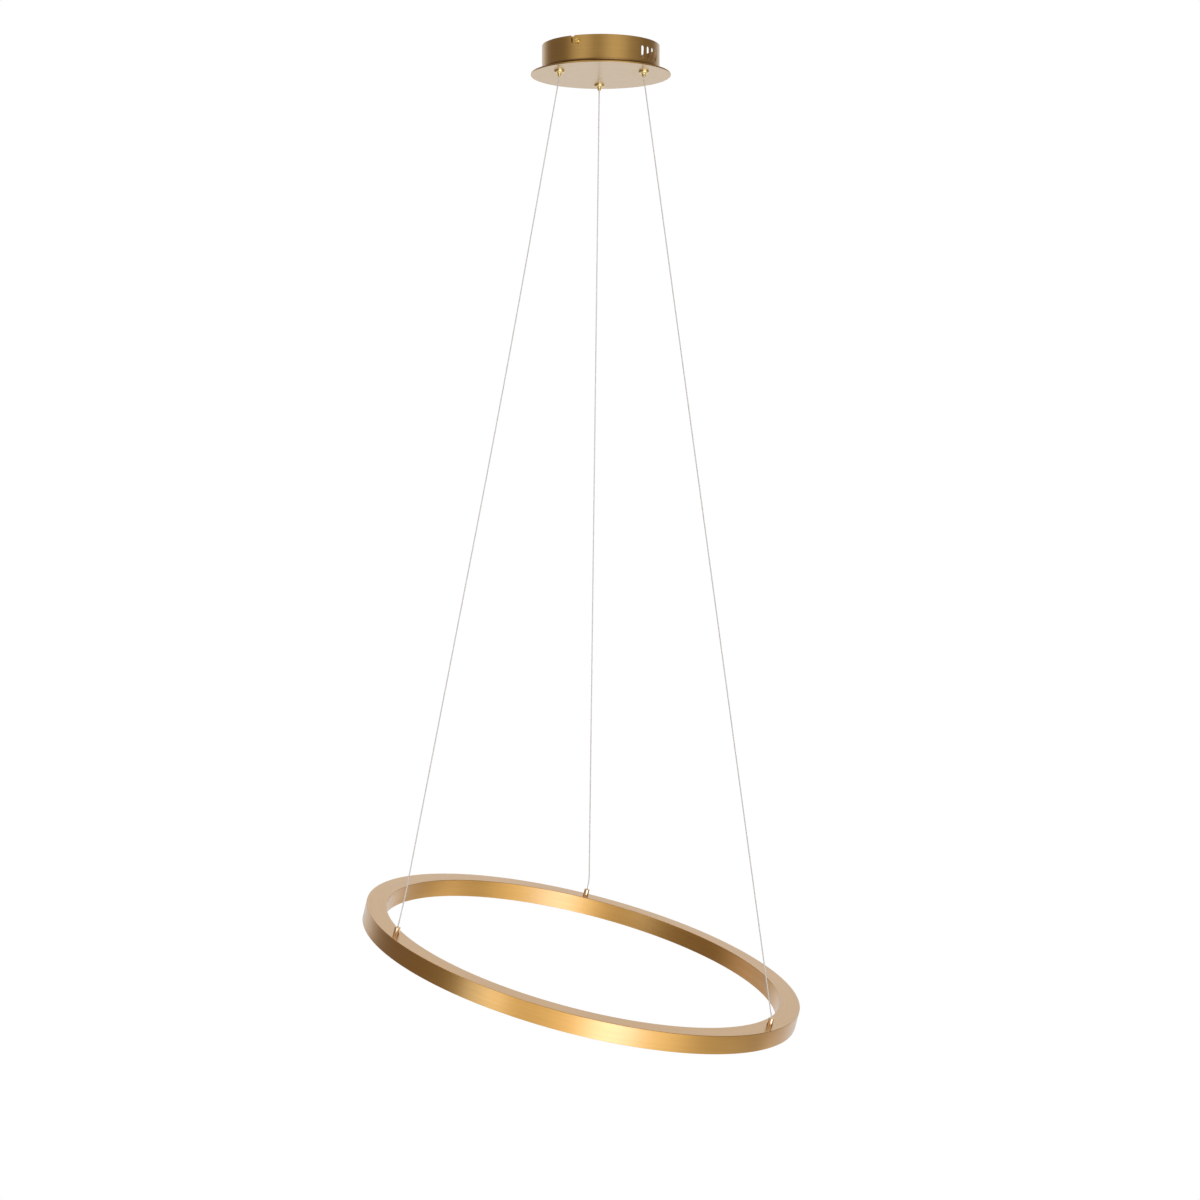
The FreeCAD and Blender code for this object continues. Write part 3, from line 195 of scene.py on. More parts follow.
cable = {
    "diameter": 0.0015, "exitHeight": -0.0467, "rise": 0.9, "smoothness": 24, "roundness": 4,
    "lengths": {"left": 1.147, "right": 1.257, "rear": 1.16},
    # each route goes down through the gripper, leans, runs straight, and turns into the connector
    "routes": {
        "left": [(-0.05488, -0.03389, -0.0387), (-0.05488, -0.03389, -0.0473),
                 (-0.05635, -0.03482, -0.05572), (-0.06239, -0.03863, -0.09028),
                 (-0.12999, -0.08129, -0.47711), (-0.20339, -0.12384, -0.86289),
                 (-0.24529, -0.14813, -1.08315), (-0.25265, -0.15239, -1.12182),
                 (-0.26228, -0.1485, -1.16003)],
        "right": [(0.05679, -0.03058, -0.0387), (0.05679, -0.03058, -0.0473),
                  (0.05792, -0.03134, -0.05579), (0.21648, -0.1375, -1.24914),
                  (0.21815, -0.13862, -1.26171), (0.22021, -0.13877, -1.27427),
                  (0.21873, -0.13817, -1.28015)],
        "rear": [(-0.00191, 0.06447, -0.0387), (-0.00191, 0.06447, -0.0473),
                 (-0.00202, 0.06612, -0.05574), (-0.01595, 0.27913, -1.14469),
                 (-0.01616, 0.28232, -1.16098), (-0.02019, 0.28395, -1.177)],
    },
}


def makeCable(side):
    route = cable["routes"][side]
    curve = bpy.data.curves.new(side + "Route", "CURVE")
    curve.dimensions = "3D"
    curve.resolution_u = cable["smoothness"]
    spline = curve.splines.new("NURBS")
    spline.points.add(len(route) - 1)
    for point, spot in zip(spline.points, route):
        point.co = (*spot, 1)
    spline.order_u = 3
    spline.use_endpoint_u = True
    line = bpy.data.objects.new(side + "Route", curve)
    bpy.context.collection.objects.link(line)
    bpy.context.view_layer.update()
    bare = bpy.data.meshes.new_from_object(line)
    curve.bevel_depth = cable["diameter"] / 2
    curve.bevel_resolution = cable["roundness"]
    curve.use_fill_caps = True
    choose(line)
    bpy.ops.object.convert(target="MESH")
    line.name = line.data.name = side + "Cable"
    bpy.ops.object.shade_smooth()
    dressed(line, "suspension", "clear_cable", side + "_cable")
    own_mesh(line)
    return line


cables = {side: makeCable(side) for side in sides}
print("cables made")


# ring; here and below, an edge is the width of its rounding and the number of faces across it

ring = {
    "radius": 0.3, "width": 0.0274, "height": 0.0243, "wall": 0.0016, "web": 0.002,
    "topEdge": (0.0006, 4), "footEdge": (0.0003, 2), "segments": 576,
    "centre": (-0.0225, -0.0004, -1.2107), "tilt": 15.2, "lowAzimuth": -22,
    "connectorTurn": 0.5, "bushHole": 0.00405, "bushHoleSpan": (-0.004, 0.002),
}
lowTurn = math.radians(ring["lowAzimuth"])
tiltAxis = (-math.sin(lowTurn), math.cos(lowTurn), 0)
ringPlace = (Matrix.Translation(ring["centre"])
             @ Matrix.Rotation(math.radians(ring["tilt"]), 4, tiltAxis))


def connectorSpot(azimuth):
    return onCircle(ring["radius"] - ring["width"] / 2, azimuth + ring["connectorTurn"])


def makeHousing():
    outer = ring["radius"]
    inner = outer - ring["width"]
    foot = -ring["height"]
    wall = ring["wall"]
    piece = turned("ringHousing", [
        (outer, 0), (inner, 0), (inner, foot), (inner + wall, foot), (inner + wall, -ring["web"]),
        (outer - wall, -ring["web"]), (outer - wall, foot), (outer, foot),
    ], ring["segments"], closed=True)
    roundLoops(piece, [(outer, 0), (inner, 0)], *ring["topEdge"])
    roundLoops(piece, [(outer, foot), (inner, foot), (inner + wall, foot), (outer - wall, foot)],
               *ring["footEdge"])
    for azimuth in sides.values():
        drill(piece, connectorSpot(azimuth), ring["bushHole"], *ring["bushHoleSpan"])
    shadeFine(piece)
    return dressed(settle(piece, ringPlace), "ring", "satin_gold", "ring_housing")


opal = {"gap": 0.0001, "height": 0.0115, "wall": 0.0012, "floor": 0.002, "edge": (0.0004, 3)}


def makeDiffuser():
    outer = ring["radius"] - ring["wall"] - opal["gap"]
    inner = ring["radius"] - ring["width"] + ring["wall"] + opal["gap"]
    foot = -ring["height"]
    top = foot + opal["height"]
    wall = opal["wall"]
    piece = turned("opalDiffuser", [
        (outer, top), (outer, foot), (inner, foot), (inner, top), (inner + wall, top),
        (inner + wall, foot + opal["floor"]), (outer - wall, foot + opal["floor"]),
        (outer - wall, top),
    ], ring["segments"], closed=True)
    roundLoops(piece, [(outer, foot), (inner, foot)], *opal["edge"])
    shadeFine(piece)
    return dressed(settle(piece, ringPlace), "ring", "opal_diffuser", "diffuser")


ringHousing = makeHousing()
diffuser = makeDiffuser()
print("ring made")


# ring connectors

connector = {
    "radius": 0.0038, "height": 0.00975, "bore": 0.0011, "throat": 0.0045,
    "stud": 0.003, "studLength": 0.0082, "studBore": 0.002,
    "topEdge": (0.0005, 4), "boreEdge": (0.0003, 3), "footEdge": (0.0002, 2), "segments": 96,
}


def makeConnectors():
    radius, top, bore = connector["radius"], connector["height"], connector["bore"]
    stud, studFoot = connector["stud"], -connector["studLength"]
    shoulder = top - connector["throat"]
    first = turned("firstConnector", [
        (bore, top), (radius, top), (radius, 0), (stud, 0), (stud, studFoot),
        (connector["studBore"], studFoot), (connector["studBore"], shoulder), (bore, shoulder),
    ], connector["segments"], closed=True)
    roundLoops(first, [(radius, top)], *connector["topEdge"])
    roundLoops(first, [(bore, top)], *connector["boreEdge"])
    roundLoops(first, [(radius, 0)], *connector["footEdge"])
    shadeFine(first)
    group = []
    for side, azimuth in sides.items():
        place = ringPlace @ Matrix.Translation(connectorSpot(azimuth))
        group.append(copied(first, side + "Connector", place))
    bpy.data.objects.remove(first)
    deselect()
    for piece in group:
        piece.select_set(True)
    bpy.context.view_layer.objects.active = group[0]
    bpy.ops.object.join()
    group[0].name = group[0].data.name = "ringConnectors"
    return dressed(group[0], "ring", "polished_brass", "ring_connectors")


ringConnectors = makeConnectors()
print("connectors made")


# canopy

canopy = {
    "depth": 0.039, "segments": 720,
    "plateRadius": 0.0935, "plateThickness": 0.002, "plateEdge": (0.00035, 3),
    "drumRadius": 0.0785, "drumWall": 0.001, "drumBend": 0.006, "rimEdge": (0.0003, 2),
    "outerBendFaces": 6, "innerBendFaces": 4,
    "ventAzimuth": -45.6, "ventPitch": 7.7, "ventCount": 4, "ventWidth": 0.0052,
    "ventLength": 0.0165,
    "lockAzimuth": -112.8, "lockTwist": 5.3, "lockDrop": 0.0076, "lockSlot": 0.0024,
    "lockCutReach": 0.03, "pastRim": 0.005,
    "gripperCircle": 0.0645, "gripperTurn": 1.7, "gripperHole": 0.0051, "pastPlate": 0.002,
}


def slotCutter(width, length, reach, azimuth, middle, upright):
    # a bar with rounded ends that points outwards through the drum's wall
    deselect()
    bpy.ops.mesh.primitive_cylinder_add(vertices=tools["slotSides"], radius=width / 2, depth=reach)
    bar = bpy.context.object
    bpy.ops.object.mode_set(mode="EDIT")
    bpy.ops.mesh.select_all(action="DESELECT")
    bpy.ops.object.mode_set(mode="OBJECT")
    for vertex in bar.data.vertices:
        vertex.select = vertex.co.y > width * 1e-4
    bpy.ops.object.mode_set(mode="EDIT")
    bpy.ops.mesh.select_mode(type="VERT")
    bpy.ops.transform.translate(value=(0, length - width, 0))
    bpy.ops.object.mode_set(mode="OBJECT")
    bar.location = (0, -(length - width) / 2, 0)
    settle(bar)
    turn = math.radians(azimuth)
    outwards = Vector((math.cos(turn), math.sin(turn), 0))
    along = Vector((0, 0, 1)) if upright else Vector((-math.sin(turn), math.cos(turn), 0))
    across = along.cross(outwards)
    place = Matrix((across, along, outwards)).transposed().to_4x4()
    place.translation = middle
    return settle(bar, place)


def makeDrum():
    radius, bend = canopy["drumRadius"], canopy["drumBend"]
    inner = radius - canopy["drumWall"]
    floor = -(canopy["depth"] - canopy["plateThickness"])
    innerFloor = floor + canopy["drumWall"]
    piece = turned("canopyDrum", [
        (inner, innerFloor), (inner, 0), (radius, 0), (radius, floor),
    ], canopy["segments"])
    roundLoops(piece, [(radius, floor)], bend, canopy["outerBendFaces"])
    roundLoops(piece, [(inner, innerFloor)], bend - canopy["drumWall"], canopy["innerBendFaces"])
    roundLoops(piece, [(inner, 0), (radius, 0)], *canopy["rimEdge"])
    for number in range(canopy["ventCount"]):
        # each cutter runs through the whole drum, so that it cuts the vent behind as well
        azimuth = canopy["ventAzimuth"] + number * canopy["ventPitch"]
        cutWith(piece, slotCutter(canopy["ventWidth"], canopy["ventLength"], 3 * radius, azimuth,
                                  (0, 0, floor / 2), True))
    aside = radius * math.sin(math.radians(canopy["lockTwist"]))
    width = 2 * canopy["lockSlot"]
    reach = canopy["lockCutReach"]
    entryHeight = canopy["lockDrop"] + canopy["pastRim"]
    for azimuth in (canopy["lockAzimuth"], canopy["lockAzimuth"] + 180):
        # a level slot for the screw to slide in, then an upright one that opens at the rim
        screw = onCircle(radius, azimuth, -canopy["lockDrop"])
        along = onCircle(1, azimuth + 90)
        cutWith(piece, slotCutter(width, aside + width, reach, azimuth, screw - along * aside / 2,
                                  False))
        entry = screw - along * aside + Vector((0, 0, entryHeight / 2 - width / 4))
        cutWith(piece, slotCutter(width, entryHeight + width / 2, reach, azimuth, entry, True))
    shadeFine(piece)
    return dressed(piece, "canopy", "satin_gold", "canopy_drum")


def makePlate():
    radius, past = canopy["plateRadius"], canopy["pastPlate"]
    low = -canopy["depth"]
    high = low + canopy["plateThickness"]
    piece = turned("canopyPlate", [(radius, low), (radius, high)], canopy["segments"])
    roundLoops(piece, [(radius, low), (radius, high)], *canopy["plateEdge"])
    for azimuth in sides.values():
        spot = onCircle(canopy["gripperCircle"], azimuth + canopy["gripperTurn"])
        drill(piece, spot, canopy["gripperHole"], low - past, high + past)
    shadeFine(piece)
    return dressed(piece, "canopy", "satin_gold", "canopy_plate")


canopyDrum = makeDrum()
canopyPlate = makePlate()
print("canopy made")


# cable grippers

gripper = {
    "bore": 0.00235, "noseTip": 0.0031, "nose": 0.0035, "noseHeight": 0.0012,
    "flange": 0.0069, "flangeHeight": 0.0028, "flangeEdge": (0.0018, 6), "noseEdge": (0.0003, 3),
    "barrel": 0.005, "barrelHeight": 0.018, "chamber": 0.004, "chamberFoot": 0.007,
    "coneFoot": 0.002, "threadStart": 0.0095, "threadPitch": 0.001, "threadDepth": 0.00035,
    "segments": 96,
}


def makeGrippers():
    foot = -gripper["flangeHeight"]
    low = foot - gripper["noseHeight"]
    barrel, top, pitch = gripper["barrel"], gripper["barrelHeight"], gripper["threadPitch"]
    root = barrel - gripper["threadDepth"]
    corners = [
        (gripper["bore"], low), (gripper["noseTip"], low), (gripper["nose"], foot),
        (gripper["flange"], foot), (gripper["flange"], 0), (barrel, 0),
        (barrel, gripper["threadStart"]),
    ]
    height = gripper["threadStart"] + pitch / 2
    while height < top - pitch / 2:
        corners += [(root, height), (barrel, height + pitch / 2)]
        height += pitch
    corners += [
        (root, top), (gripper["chamber"], top), (gripper["chamber"], gripper["chamberFoot"]),
        (gripper["bore"], gripper["coneFoot"]),
    ]
    first = turned("firstGripper", corners, gripper["segments"], closed=True)
    roundLoops(first, [(gripper["flange"], foot)], *gripper["flangeEdge"])
    roundLoops(first, [(gripper["noseTip"], low), (gripper["nose"], foot)], *gripper["noseEdge"])
    shadeFine(first)
    made = {}
    for side, azimuth in sides.items():
        turn = azimuth + canopy["gripperTurn"]
        place = Matrix.Translation(onCircle(canopy["gripperCircle"], turn, -canopy["depth"]))
        made[side] = copied(first, side + "Gripper", place)
        dressed(made[side], "canopy", "polished_brass", side + "_gripper_body")
    bpy.data.objects.remove(first)
    return made


grippers = makeGrippers()
print("grippers made")


# finishes

def newMaterial(name):
    material = bpy.data.materials.new(name)
    material.use_nodes = True
    tree = material.node_tree
    return material, tree, tree.nodes["Principled BSDF"]


def addNode(tree, kind, **values):
    node = tree.nodes.new(kind)
    for name, value in values.items():
        setattr(node, name, value)
    return node


def joinUp(tree, source, target):
    tree.links.new(source, target)


def calculate(tree, operation, first, second):
    node = addNode(tree, "ShaderNodeMath", operation=operation)
    joinUp(tree, first, node.inputs[0])
    joinUp(tree, second, node.inputs[1])
    return node.outputs[0]


def newGroup(name, inputs, outputs):
    group = bpy.data.node_groups.new(name, "ShaderNodeTree")
    for title, kind, value in inputs:
        socket = group.interface.new_socket(title, in_out="INPUT", socket_type=kind)
        if value is not None:
            socket.default_value = value
    for title, kind in outputs:
        group.interface.new_socket(title, in_out="OUTPUT", socket_type=kind)
    return group, group.nodes.new("NodeGroupInput"), group.nodes.new("NodeGroupOutput")


def makeTurnedGrain():
    # fine lines that run round an upright axis: quick changes across, slow ones along
    group, start, end = newGroup("turnedGrain", [
        ("Vector", "NodeSocketVector", None), ("Along", "NodeSocketFloat", 12.0),
        ("Across", "NodeSocketFloat", 1500.0),
    ], [("Fine", "NodeSocketFloat"), ("Broad", "NodeSocketFloat")])
    split = addNode(group, "ShaderNodeSeparateXYZ")
    joinUp(group, start.outputs["Vector"], split.inputs[0])
    flat = addNode(group, "ShaderNodeCombineXYZ")
    joinUp(group, split.outputs["X"], flat.inputs["X"])
    joinUp(group, split.outputs["Y"], flat.inputs["Y"])
    reach = addNode(group, "ShaderNodeVectorMath", operation="LENGTH")
    joinUp(group, flat.outputs[0], reach.inputs[0])
    # output, its share of the scale across, its detail
    for output, share, detail in (("Fine", 1.0, 3), ("Broad", 0.2, 2)):
        across = addNode(group, "ShaderNodeMath", operation="MULTIPLY")
        joinUp(group, start.outputs["Across"], across.inputs[0])
        across.inputs[1].default_value = share
        x, y, away, up = [
            calculate(group, "MULTIPLY", source, factor)
            for source, factor in ((split.outputs["X"], start.outputs["Along"]),
                                   (split.outputs["Y"], start.outputs["Along"]),
                                   (reach.outputs["Value"], across.outputs[0]),
                                   (split.outputs["Z"], across.outputs[0]))
        ]
        spot = addNode(group, "ShaderNodeCombineXYZ")
        for part, socket in zip((x, y, away), spot.inputs):
            joinUp(group, part, socket)
        noise = addNode(group, "ShaderNodeTexNoise", noise_dimensions="4D")
        noise.inputs["Scale"].default_value = 1
        noise.inputs["Detail"].default_value = detail
        joinUp(group, spot.outputs[0], noise.inputs["Vector"])
        joinUp(group, up, noise.inputs["W"])
        joinUp(group, noise.outputs[0], end.inputs[output])
    return group


def makeMottle():
    # soft clouds and fine specks, for variation that is the same in every direction
    group, start, end = newGroup("mottle", [
        ("Vector", "NodeSocketVector", None), ("Cloud Scale", "NodeSocketFloat", 40.0),
        ("Speck Scale", "NodeSocketFloat", 2500.0),
    ], [("Clouds", "NodeSocketFloat"), ("Specks", "NodeSocketFloat")])
    for output, scale, detail in (("Clouds", "Cloud Scale", 3), ("Specks", "Speck Scale", 2)):
        noise = addNode(group, "ShaderNodeTexNoise")
        noise.inputs["Detail"].default_value = detail
        joinUp(group, start.outputs["Vector"], noise.inputs["Vector"])
        joinUp(group, start.outputs[scale], noise.inputs["Scale"])
        joinUp(group, noise.outputs[0], end.inputs[output])
    return group


turnedGrain = makeTurnedGrain()
mottle = makeMottle()


def placeGroup(tree, group, **values):
    node = addNode(tree, "ShaderNodeGroup", node_tree=group)
    for name, value in values.items():
        node.inputs[name.replace("_", " ")].default_value = value
    return node


def spread(tree, source, low, high, fromLow=0.3, fromHigh=0.7, form="LINEAR"):
    # most of a noise lies between 0.3 and 0.7
    node = addNode(tree, "ShaderNodeMapRange", interpolation_type=form)
    node.inputs["From Min"].default_value = fromLow
    node.inputs["From Max"].default_value = fromHigh
    node.inputs["To Min"].default_value = low
    node.inputs["To Max"].default_value = high
    joinUp(tree, source, node.inputs["Value"])
    return node.outputs["Result"]


def mixColours(tree, share, first, second):
    # from the first to the second, each a colour or the socket that gives it
    node = addNode(tree, "ShaderNodeMix", data_type="RGBA")
    joinUp(tree, share, node.inputs["Factor"])
    sockets = [item for item in node.inputs if item.type == "RGBA"]
    for socket, colour in zip(sockets, (first, second)):
        if isinstance(colour, tuple):
            socket.default_value = (*colour, 1)
        else:
            joinUp(tree, colour, socket)
    return [item for item in node.outputs if item.type == "RGBA"][0]


def bumpFrom(tree, shader, source, strength, distance):
    node = addNode(tree, "ShaderNodeBump")
    node.inputs["Strength"].default_value = strength
    node.inputs["Distance"].default_value = distance
    joinUp(tree, source, node.inputs["Height"])
    joinUp(tree, node.outputs["Normal"], shader.inputs["Normal"])


satin = {
    "ring": ((0.645, 0.355, 0.079), (0.685, 0.384, 0.091)),
    "canopy": ((0.61, 0.375, 0.1), (0.65, 0.405, 0.112)),
    # painted shade at the drum's foot: its dark colour, and the heights over which it fades in
    "footShadeColour": (0.16, 0.08, 0.012), "footShadeHeights": (-0.0328, -0.0298),
    "grainAlong": 14.0, "grainAcross": 1600.0, "roughness": (0.29, 0.35),
    "coat": 0.7, "coatRoughness": 0.24,
    "sheen": 0.3, "sheenTint": (0.78, 0.9, 1), "sheenRoughness": 0.3,
    "bump": 0.05, "bumpDepth": 0.00002,
}


def makeSatinGold(name, colours, place=Matrix.Identity(4), paintShadeAtFoot=False):
    # brushed and lacquered metal; the grain runs round the axis that the place gives, and a foot
    # with painted shade turns dark brown from the upper of two heights to the lower, where the
    # plate shades it
    material, tree, shader = newMaterial(name)
    coordinates = addNode(tree, "ShaderNodeTexCoord")
    mapping = addNode(tree, "ShaderNodeMapping", vector_type="TEXTURE")
    mapping.inputs["Location"].default_value = place.to_translation()
    mapping.inputs["Rotation"].default_value = place.to_euler()
    joinUp(tree, coordinates.outputs["Object"], mapping.inputs["Vector"])
    grain = placeGroup(tree, turnedGrain, Along=satin["grainAlong"], Across=satin["grainAcross"])
    joinUp(tree, mapping.outputs[0], grain.inputs["Vector"])
    colour = mixColours(tree, spread(tree, grain.outputs["Broad"], 0, 1), *colours)
    # painted shade: the wall darkens towards the plate below the given heights
    if paintShadeAtFoot:
        split = addNode(tree, "ShaderNodeSeparateXYZ")
        joinUp(tree, mapping.outputs[0], split.inputs[0])
        share = spread(tree, split.outputs["Z"], 1, 0, *satin["footShadeHeights"])
        colour = mixColours(tree, share, colour, satin["footShadeColour"])
    joinUp(tree, colour, shader.inputs["Base Color"])
    joinUp(tree, spread(tree, grain.outputs["Fine"], *satin["roughness"]),
           shader.inputs["Roughness"])
    shader.inputs["Metallic"].default_value = 1
    shader.inputs["Coat Weight"].default_value = satin["coat"]
    shader.inputs["Coat Roughness"].default_value = satin["coatRoughness"]
    shader.inputs["Sheen Weight"].default_value = satin["sheen"]
    shader.inputs["Sheen Tint"].default_value = (*satin["sheenTint"], 1)
    shader.inputs["Sheen Roughness"].default_value = satin["sheenRoughness"]
    bumpFrom(tree, shader, grain.outputs["Fine"], satin["bump"], satin["bumpDepth"])
    return material


def makeMottled(name, dark, light, roughness, cloudScale, speckScale, bump, depth):
    # colour and gloss change in soft clouds, and fine specks stand up a little
    material, tree, shader = newMaterial(name)
    coordinates = addNode(tree, "ShaderNodeTexCoord")
    marks = placeGroup(tree, mottle, Cloud_Scale=cloudScale, Speck_Scale=speckScale)
    joinUp(tree, coordinates.outputs["Object"], marks.inputs["Vector"])
    clouds = marks.outputs["Clouds"]
    joinUp(tree, mixColours(tree, spread(tree, clouds, 0, 1), dark, light),
           shader.inputs["Base Color"])
    joinUp(tree, spread(tree, clouds, *roughness), shader.inputs["Roughness"])
    bumpFrom(tree, shader, marks.outputs["Specks"], bump, depth)
    return material, shader


def makeMetal(name, dark, light, roughness, cloudScale=300.0, speckScale=6000.0, bump=0.05,
              depth=0.00001):
    material, shader = makeMottled(name, dark, light, roughness, cloudScale, speckScale, bump,
                                   depth)
    shader.inputs["Metallic"].default_value = 1
    return material


def makePlastic(name, dark, light, roughness, coat=0.0, cloudScale=60.0, speckScale=3000.0,
                bump=0.15, depth=0.00003):
    material, shader = makeMottled(name, dark, light, roughness, cloudScale, speckScale, bump,
                                   depth)
    shader.inputs["Coat Weight"].default_value = coat
    return material


# darker and lighter colour, least and most roughness, then what differs from the usual metal
metals = {
    "polishedBrass": ((0.93, 0.74, 0.32), (0.97, 0.80, 0.38), (0.24, 0.32)),
    "yellowBrass": ((0.88, 0.64, 0.17), (0.93, 0.70, 0.22), (0.26, 0.34)),
    "paleBrass": ((0.86, 0.63, 0.34), (0.91, 0.69, 0.40), (0.2, 0.26)),
    "zincSteel": ((0.50, 0.51, 0.52), (0.64, 0.65, 0.66), (0.25, 0.42), 120.0),
    "bearingSteel": ((0.68, 0.69, 0.70), (0.76, 0.77, 0.78), (0.06, 0.12)),
    "bareAluminium": ((0.74, 0.75, 0.76), (0.82, 0.83, 0.84), (0.3, 0.45), 60.0),
}
# the same for plastics, whose coat comes first among what differs
plastics = {
    "opalDiffuser": ((0.90, 0.90, 0.88), (0.93, 0.93, 0.91), (0.32, 0.4), 0.0, 8.0, 1500.0, 0.05),
    "whitePlastic": ((0.80, 0.80, 0.78), (0.86, 0.86, 0.84), (0.42, 0.52)),
    "greyPlastic": ((0.36, 0.37, 0.38), (0.44, 0.45, 0.46), (0.4, 0.5)),
    "circuitBoard": ((0.03, 0.20, 0.09), (0.06, 0.30, 0.14), (0.3, 0.4), 0.3, 400.0),
    "transformerTape": ((0.62, 0.48, 0.06), (0.74, 0.60, 0.10), (0.3, 0.4), 0.2),
    "capacitorSleeve": ((0.03, 0.03, 0.035), (0.06, 0.06, 0.07), (0.25, 0.35), 0.4),
    "brownLead": ((0.17, 0.075, 0.03), (0.24, 0.11, 0.05), (0.3, 0.4), 0.2),
    "redLead": ((0.42, 0.03, 0.025), (0.55, 0.05, 0.04), (0.3, 0.4), 0.2),
    "earthLead": ((0.10, 0.32, 0.03), (0.62, 0.60, 0.03), (0.3, 0.4), 0.2, 350.0),
    "stripWhite": ((0.84, 0.84, 0.84), (0.90, 0.90, 0.90), (0.4, 0.5)),
    "ledPhosphor": ((0.82, 0.66, 0.12), (0.90, 0.78, 0.20), (0.3, 0.4), 0.3),
    "clearCable": ((0.80, 0.80, 0.79), (0.88, 0.88, 0.87), (0.22, 0.3), 0.6, 900.0),
}
finishes = {
    "satinGoldRing": makeSatinGold("satinGoldRing", satin["ring"], ringPlace),
    "satinGoldPlate": makeSatinGold("satinGoldPlate", satin["canopy"]),
    "satinGoldDrumShadedFoot": makeSatinGold("satinGoldDrumShadedFoot", satin["canopy"], paintShadeAtFoot=True),
}
for name, values in metals.items():
    finishes[name] = makeMetal(name, *values)
for name, values in plastics.items():
    finishes[name] = makePlastic(name, *values)


def dress(piece, finish):
    material = finishes[finish]
    if not piece.data.materials:
        piece.data.materials.append(material)
    for slot in piece.material_slots:
        slot.material = material


slotFinishes = {
    "satin_gold": "satinGoldPlate", "polished_brass": "polishedBrass", "zinc_steel": "zincSteel",
    "bearing_steel": "bearingSteel", "bare_aluminium": "bareAluminium",
    "clear_cable": "clearCable", "opal_diffuser": "opalDiffuser",
    "white_plastic": "whitePlastic", "grey_plastic": "greyPlastic",
    "circuit_board": "circuitBoard", "transformer_tape": "transformerTape",
    "capacitor_sleeve": "capacitorSleeve", "brown_lead": "brownLead", "red_lead": "redLead",
    "earth_lead": "earthLead", "strip_white": "stripWhite", "led_phosphor": "ledPhosphor",
}
# nodes whose finish is a little different from the usual one of their slot
nodeFinishes = {
    "ring_housing": "satinGoldRing", "canopy_drum": "satinGoldDrumShadedFoot",
    "front_lock_screw": "yellowBrass", "rear_lock_screw": "yellowBrass",
    "ring_connectors": "paleBrass",
}
for entry in frame["record"]["subparts"]:
    usual = slotFinishes[entry["material_slot"]]
    dress(nodes[entry["node"]], nodeFinishes.get(entry["node"], usual))
dress(ringHousing, "satinGoldRing")
dress(canopyDrum, "satinGoldDrumShadedFoot")
dress(canopyPlate, "satinGoldPlate")
dress(diffuser, "opalDiffuser")
dress(ringConnectors, "paleBrass")
for side in sides:
    dress(grippers[side], "polishedBrass")
    dress(cables[side], "clearCable")
print("finishes given")


# studio

white = (1, 1, 1)
studio = {
    "room": (0.222, 0.178, 0.165),
    # azimuth, elevation, outer and inner half angle in degrees, strength
    "softboxes": [(-62, -25, 38, 10, 1.57), (-130, 28, 32, 8, 0.66), (52, -22, 28, 8, 0.4),
                  (-95, 20, 45, 10, 0.08), (0, 90, 60, 20, 0.3), (-90, -30, 28, 8, 0.55),
                  (-84, -27, 20, 4, 0.33), (-60, 25, 35, 10, 0.28), (0, -26, 36, 8, 0.13),
                  (-28, 15, 30, 8, 0.13)],
    # the white backdrop as reflections show it
    "backdrop": (92, 3, 58, 10, 0.86),
    # a cool core in the strongest softbox, that reflections alone show, and its colour
    "core": (-73, -27, 18, 4, 3.7),
    "coreColour": (0, 0.18, 1),
    # name, place, target, width, height, power, spread in degrees, colour
    "lamps": [
        ("frontSoftbox", (0.55, -1.95, -2.12), (0, 0, -1.2), 0.8, 0.8, 1.0, 180, white),
        ("leftSoftbox", (-0.505, -0.578, -1.277), (-0.12, -0.28, -1.21), 0.24, 0.26, 0.19, 180,
         (0.93, 1.12, 1.7)),
        ("leftPanel", (-0.33, -0.74, -1.33), (-0.1, -0.28, -1.2), 0.5, 0.26, 0.31, 180, white),
        ("backSoftbox", (0.5, 0.36, -1.66), (-0.1, 0.05, -1.2), 0.5, 0.2, 0.22, 180, white),
        ("rightSoftbox", (-0.49, 0.456, -1.28), (0.25, 0.143, -1.285), 0.5, 0.25, 0.03, 70,
         (1, 0.97, 1.2)),
    ],
}


def facingShare(tree, direction, azimuth, elevation, outer, inner, strength):
    # rises from nothing at the outer half angle to the full strength at the inner one
    rise = math.radians(elevation)
    facing = addNode(tree, "ShaderNodeVectorMath", operation="DOT_PRODUCT")
    joinUp(tree, direction, facing.inputs[0])
    facing.inputs[1].default_value = onCircle(math.cos(rise), azimuth, math.sin(rise))
    return spread(tree, facing.outputs["Value"], 0, strength, math.cos(math.radians(outer)),
                  math.cos(math.radians(inner)), "SMOOTHSTEP")


def seenDirectly(tree, glossyShare=None):
    # what is seen straight or through glass counts in full, and a reflection by the given share
    path = addNode(tree, "ShaderNodeLightPath")
    glossy = path.outputs["Is Glossy Ray"]
    if glossyShare:
        glossy = calculate(tree, "MULTIPLY", glossy, glossyShare)
    straight = calculate(tree, "MAXIMUM", path.outputs["Is Camera Ray"],
                         path.outputs["Is Transmission Ray"])
    return calculate(tree, "MAXIMUM", straight, glossy)


def mixShaders(tree, share, first, second):
    mix = addNode(tree, "ShaderNodeMixShader")
    for source, socket in zip((share, first, second), mix.inputs):
        joinUp(tree, source, socket)
    return mix.outputs[0]


